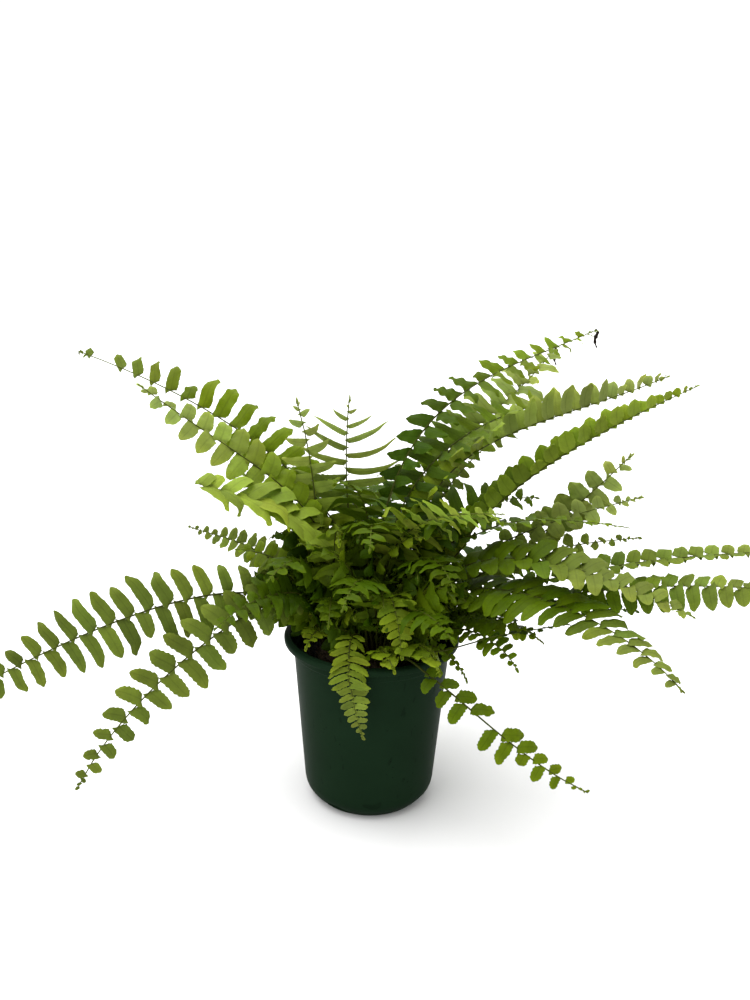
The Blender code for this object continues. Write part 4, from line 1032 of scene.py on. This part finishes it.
# heights above the ground and radii of the soil's side, from the top down
SOIL_WALL = ((0.100, 0.0538), (0.0105, 0.0462), (0.0028, 0.0385))
CROWN_TINT = (0.034, 0.022, 0.010)
SOIL_RINGS = 26
SOIL_CORNERS = 96
SOIL_GAP = 0.0004           # between the soil and the pot's wall
# height, fineness and shift of the noise that makes its top uneven, and how far that is lowered
SOIL_HILLS = ((0.0018, 70.0, 0.0), (0.0010, 260.0, 7.0))
SOIL_DIP = 0.0006
SOIL_SHARP = 60.0
GRAIN_COUNT = 1300
GRAIN_WARMTH = (1.1, 1.0, 0.85)
GRAIN_ROUGHNESS = 0.16      # of its corners, as a share of its size
CROWN_RINGS = 9
CROWN_CORNERS = 36
CROWN_BULGE = 0.0009        # height of its unevenness
STAND = 0.6                 # a small frond's distance from the crown's middle, as a share
STAND_DEPTH = 0.005         # of its foot below the crown's top
SCALE_COUNT = 320
SCALE_LENGTHS = (0.0018, 0.0042)
SCALE_WIDTHS = (0.0006, 0.0012)
GOLDEN = (1.0 + 5.0 ** 0.5) / 2.0
# corners of the regular twenty-sided solid that grains are made from
LUMP_CORNERS = np.array([corner for a in (-1.0, 1.0) for b in (-GOLDEN, GOLDEN)
                         for corner in ((0.0, a, b), (a, b, 0.0), (b, 0.0, a))])
LUMP_SIDE = 2.01            # no side of its faces is longer


def lump_faces():
    """The twenty faces, each turned outwards."""
    faces = []
    for trio in itertools.combinations(range(len(LUMP_CORNERS)), 3):
        one, two, three = LUMP_CORNERS[list(trio)]
        if max(np.linalg.norm(one - two), np.linalg.norm(two - three),
               np.linalg.norm(three - one)) < LUMP_SIDE:
            outward = np.cross(two - one, three - one) @ one > 0.0
            faces.append(trio if outward else (trio[0], trio[2], trio[1]))
    return faces


LUMP_FACES = lump_faces()


def add_lump(surface, centre, size, tint, chance):
    """A small closed irregular grain."""
    seed = chance.normal(size=LUMP_CORNERS.shape) * GRAIN_ROUGHNESS
    corners = unit(LUMP_CORNERS) + seed
    squash = chance.uniform(0.55, 1.0, size=3)
    angle = chance.uniform(0, 6.28)
    axis = Vector(chance.normal(size=3)).normalized()
    turn = np.array(Matrix.Rotation(angle, 3, axis))
    surface.add((corners * squash * size) @ turn.T + centre, LUMP_FACES, tint, ORIGIN)


def smooth_noise(place):
    """Smooth noise from -1 to 1."""
    return noise.noise(Vector(place))


def disc_faces(rings, sides):
    """Faces of a disc: a fan round its first point, and rings of quads round that."""
    faces = [(0, a, b) for a, b in neighbours(range(1, 1 + sides))]
    for start in range(1, 1 + (rings - 1) * sides, sides):
        faces += band(range(start, start + sides), range(start + sides, start + 2 * sides))
    return faces


def build_soil(material, chance):
    """Crumbly soil: an uneven top with grains pressed into it."""
    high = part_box("soil")[1]
    radius = high.x - SOIL_GAP
    top = high.z
    rings, sides = SOIL_RINGS, SOIL_CORNERS
    surface = Surface()
    points = [(0.0, 0.0, top)]
    for k in range(1, rings + 1):
        r = radius * k / rings
        points += [(r * math.cos(a), r * math.sin(a), top) for a in around(sides, 0.5 * (k % 2))]
    points = np.array(points)
    hills = [sum(height * smooth_noise(p * fine + shift) for height, fine, shift in SOIL_HILLS)
             for p in points]
    points[:, 2] += np.array(hills) - SOIL_DIP
    faces = disc_faces(rings, sides)
    # side wall and underside, a little inside the pot's wall
    ring = list(range(1 + (rings - 1) * sides, 1 + rings * sides))
    turn = around(sides, 0.5 * (rings % 2))
    for height, width in SOIL_WALL:
        lower = list(range(len(points), len(points) + sides))
        wall = np.stack([width * np.cos(turn), width * np.sin(turn), np.full(sides, height)], -1)
        points = np.vstack([points, wall])
        faces += band(ring, lower)
        ring = lower
    points = np.vstack([points, [[0.0, 0.0, SOIL_WALL[-1][0]]]])
    faces += [(a, len(points) - 1, b) for a, b in neighbours(ring)]
    surface.add(points, faces, SOIL_TINT, ORIGIN)
    for _ in range(GRAIN_COUNT):
        r = (radius - 0.003) * math.sqrt(chance.uniform())
        a = chance.uniform(0.0, 2.0 * math.pi)
        size = 0.0005 + 0.0013 * chance.uniform() ** 3
        shade = chance.uniform(0.6, 2.2)
        tint = np.array(SOIL_TINT) * shade * np.array(GRAIN_WARMTH)
        height = top + chance.uniform(-0.001, 0.0007)
        centre = np.array([r * math.cos(a), r * math.sin(a), height])
        add_lump(surface, centre, size, tint, chance)
    return surface.build("soil_top", [material], SOIL_SHARP)


def crown_box(name):
    """A crown's middle and radius, and the heights of its underside and top."""
    low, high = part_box(name)
    return (np.array(low) + np.array(high)) / 2.0, (high.x - low.x) / 2.0, low.z, high.z


def build_crown(name, chance):
    """A scaly mound from which the fronds grow, as a surface."""
    middle, radius, bottom, top = crown_box(name)
    height = top - bottom
    surface = Surface()
    rings, sides = CROWN_RINGS, CROWN_CORNERS
    points = [(middle[0], middle[1], top)]
    for k in range(1, rings + 1):
        angle = math.pi / 2.0 * k / rings
        z = bottom + height * math.cos(angle)
        for a in around(sides, 0.5 * (k % 2)):
            bump = CROWN_BULGE * smooth_noise((math.cos(a) * 3 + middle[0] * 900, math.sin(a) * 3,
                                               k * 0.8)) * (k < rings)
            r = radius * 0.97 * math.sin(angle) + bump
            points.append((middle[0] + r * math.cos(a), middle[1] + r * math.sin(a), z + bump))
    points.append((middle[0], middle[1], bottom))
    faces = disc_faces(rings, sides)
    faces += [(a, len(points) - 1, b)
              for a, b in neighbours(range(1 + (rings - 1) * sides, 1 + rings * sides))]
    surface.add(points, faces, CROWN_TINT, ORIGIN, 2)
    for _ in range(SCALE_COUNT):
        steep = math.acos(1.0 - chance.uniform() * 0.93)
        turn = chance.uniform(0.0, 2.0 * math.pi)
        way = np.array([math.cos(turn) * math.sin(steep), math.sin(turn) * math.sin(steep),
                        math.cos(steep)])
        root = (np.array([middle[0], middle[1], bottom])
                + way * np.array([radius, radius, height]) * 0.96)
        out = unit(way + np.array([0.0, 0.0, 0.9]) + chance.normal(size=3) * 0.45)
        across = unit(np.cross(out, way + chance.normal(size=3) * 0.1))
        tint = np.array(CROWN_TINT) * chance.uniform(0.5, 2.3)
        add_scale(surface, root, out, across, chance.uniform(*SCALE_LENGTHS),
                  chance.uniform(*SCALE_WIDTHS), tint)
    return surface


YOUNG_STYLES = ((DEEP, MID), (DEEP, MID), (DEEP, FRESH), (MID, MID), (MID, DEEP), (DEEP, DEEP))
YOUNG_PAIRS = 6
# tall and low young fronds: ranges of reach, rise, climb, fall, leaflets' length and width
YOUNG_TALL = ((0.022, 0.058), (0.055, 0.105), (82, 92), (-45, 10), (0.022, 0.030),
              (0.0088, 0.0110))
YOUNG_LOW = ((0.030, 0.056), (0.016, 0.045), (70, 88), (-60, -20), (0.016, 0.022),
             (0.0070, 0.0086))
LESS_REACH = 0.020          # what a low one loses of its longest reach towards the front
# headings of each crown's young fronds
YOUNG_HEADINGS = {
    "crown_centre": (200, 235, 262, 290, 318, 350, 30, 90, 150),
    "crown_left": (150, 170, 190, 20, 70, 275, 300, 120),
    "crown_right": (20, 350, 330, 312, 296, 280, 262, 50),
    "crown_back": (60, 90, 120, 150, 30, 110),
    "crown_front": (20, 60, 110, 150, 205, 318, 338),
}
# more small fronds: heading, reach, rise, climb, fall, pairs, leaflet's length and width
SPRIGS = {
    # round-leaved, over the rim at the front
    "crown_front": (FAN, LIME, ((306, 0.064, 0.022, 70, -48, 5, 0.017, 0.014),
                                (282, 0.050, 0.022, 70, -40, 5, 0.014, 0.012))),
    # under the long fronds on the right
    "crown_right": (OBLONG, FRESH, ((352, 0.105, 0.052, 70, -5, 11, 0.023, 0.0085),
                                    (338, 0.095, 0.022, 72, -35, 10, 0.022, 0.0085),
                                    (10, 0.100, 0.062, 75, 0, 10, 0.021, 0.0080))),
}


def crown_foot(name, heading):
    """Where a small frond with this heading, in degrees, stands on a crown."""
    middle, radius, _, top = crown_box(name)
    foot = middle + radius * STAND * direction(heading)
    foot[2] = top - STAND_DEPTH
    return foot


def add_sprigs(surface, name, chance):
    """The crown's further small fronds, if it has any."""
    changes, end_tint, rows = SPRIGS.get(name, (None, None, ()))
    for heading, *form in rows:
        frond = new_frond(crown_foot(name, heading), heading, *form, chance.normal(0.0, 12.0), 0.3,
                          chance)
        grow(surface, frond, (MID, end_tint, dict(changes, teeth=0.03), {}), chance)


def add_young_fronds(surface, name, chance):
    """Small fronds, low and tall, that fill the space above a crown."""
    for k, heading in enumerate(YOUNG_HEADINGS[name]):
        for tall in (False, True):
            azimuth = heading + chance.normal(0.0, 7.0) + (11.0 if tall else 0.0)
            front = max(0.0, -math.sin(math.radians(azimuth)))
            reaches, *others = YOUNG_TALL if tall else YOUNG_LOW
            if not tall:
                reaches = (reaches[0], reaches[1] - LESS_REACH * front)
            reach, rise, climb, fall, leaf, wide = (chance.uniform(*ends)
                                                    for ends in (reaches, *others))
            frond = new_frond(crown_foot(name, azimuth), azimuth, reach, rise, climb, fall,
                              YOUNG_PAIRS, leaf, wide, chance.normal(0.0, 22.0),
                              chance.uniform(0.25, 0.95), chance)
            foot_tint, end_tint = YOUNG_STYLES[int(chance.integers(len(YOUNG_STYLES)))]
            changes = dict(OBLONG if k % 2 else SICKLE, sickle=0.12, droop=0.16, hook=0.06)
            grow(surface, frond, (foot_tint, end_tint, changes, {}), chance)


# ---------------------------------------------------------------- everything
def place_piece(piece, node):
    """A piece that stands for a CAD node."""
    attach(piece, "root")
    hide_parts(node)


# share of light through a blade, and its roughness
LEAF_LOOKS = {"leaf_bright": (0.42, 0.46), "leaf_mid": (0.36, 0.46), "leaf_dark": (0.28, 0.48)}
# where the random draws start for the soil, and for the first crown's mound and small fronds
SEEDS = dict(soil=5, mound=40, young=60, sprigs=80)

slots = {row["node"]: row["material_slot"] for row in frame["record"]["subparts"]}
leaf_materials = {name: leaf_material(name, *values) for name, values in LEAF_LOOKS.items()}
stem_look = stem_material("stem_skin")
for name in sorted(frame["nodes"]):
    if not (name.startswith("frond") or name == "runner"):
        continue
    chance = np.random.default_rng(sum(ord(letter) * (k + 3) for k, letter in enumerate(name)))
    frond = read_frond(name)
    surface = Surface()
    grow(surface, frond, STYLES.get(name, DEFAULT_STYLE), chance)
    if name in DRIED:
        add_dried_end(surface, frond)
    piece = surface.build(name + "_leaves", [leaf_materials[slots[name]], stem_look])
    place_piece(piece, name)

place_piece(build_pot(pot_material("pot_plastic")), "pot")
soil_look = earth_material("soil", fine=700.0, roughness=0.95)
soil = build_soil(soil_look, np.random.default_rng(SEEDS["soil"]))
place_piece(soil, "soil")
crown_look = earth_material("crown", fine=900.0, roughness=0.85)
for k, name in enumerate(sorted(n for n in frame["nodes"] if n.startswith("crown"))):
    surface = build_crown(name, np.random.default_rng(SEEDS["mound"] + k))
    add_young_fronds(surface, name, np.random.default_rng(SEEDS["young"] + k))
    add_sprigs(surface, name, np.random.default_rng(SEEDS["sprigs"] + k))
    piece = surface.build(name + "_mound", [leaf_materials["leaf_mid"], stem_look, crown_look])
    place_piece(piece, name)

# ---------------------------------------------------------------- floor, light and camera
floor_mesh = bpy.data.meshes.new("floor")
corners = [(x * FLOOR_REACH, y * FLOOR_REACH, 0)
           for x, y in ((-1, -1), (1, -1), (1, 1), (-1, 1))]
floor_mesh.from_pydata(corners, [], [(0, 1, 2, 3)])
floor = bpy.data.objects.new("floor", floor_mesh)
bpy.context.scene.collection.objects.link(floor)
floor_look = Look("floor")
floor_mesh.materials.append(floor_look.show(floor_look.add("BsdfPrincipled", {
    "Base Color": (FLOOR_ALBEDO, FLOOR_ALBEDO, FLOOR_ALBEDO, 1.0),
    "Roughness": FLOOR_ROUGHNESS, "Specular IOR Level": 0.0}).outputs[0]))

world = bpy.data.worlds.new("studio")
bpy.context.scene.world = world
world.use_nodes = True
sky = world.node_tree.nodes["Background"]
sky.inputs["Color"].default_value = (1.0, 1.0, 1.0, 1.0)
sky.inputs["Strength"].default_value = WORLD_STRENGTH


def add_sun(name, heading, height, strength, spread):
    """A wide soft sun that shines from a heading and a height, in degrees."""
    data = bpy.data.lights.new(name, "SUN")
    data.energy = strength
    data.angle = math.radians(spread)
    lamp = bpy.data.objects.new(name, data)
    lamp.rotation_euler = Vector(direction(heading, height)).to_track_quat("Z", "Y").to_euler()
    bpy.context.scene.collection.objects.link(lamp)


for name, values in SUNS.items():
    add_sun(name, *values)

bpy.context.scene.view_settings.view_transform = "Standard"

camera_data = bpy.data.cameras.new("camera")
camera_data.sensor_width = SENSOR
camera_data.lens = LENS
camera_data.clip_start, camera_data.clip_end = CAMERA_RANGE
camera = bpy.data.objects.new("camera", camera_data)
pitch = math.radians(CAMERA_PITCH)
roll = math.radians(CAMERA_ROLL)
look = Vector((0.0, math.cos(pitch), -math.sin(pitch)))
level_up = Vector((0.0, math.sin(pitch), math.cos(pitch)))
level_right = Vector((1.0, 0.0, 0.0))
right = level_right * math.cos(roll) + level_up * math.sin(roll)
up = level_up * math.cos(roll) - level_right * math.sin(roll)
stance = Matrix((right, up, -look)).transposed().to_4x4()
camera.matrix_world = Matrix.Translation(CAMERA_PLACE) @ stance
bpy.context.scene.collection.objects.link(camera)
bpy.context.scene.camera = camera
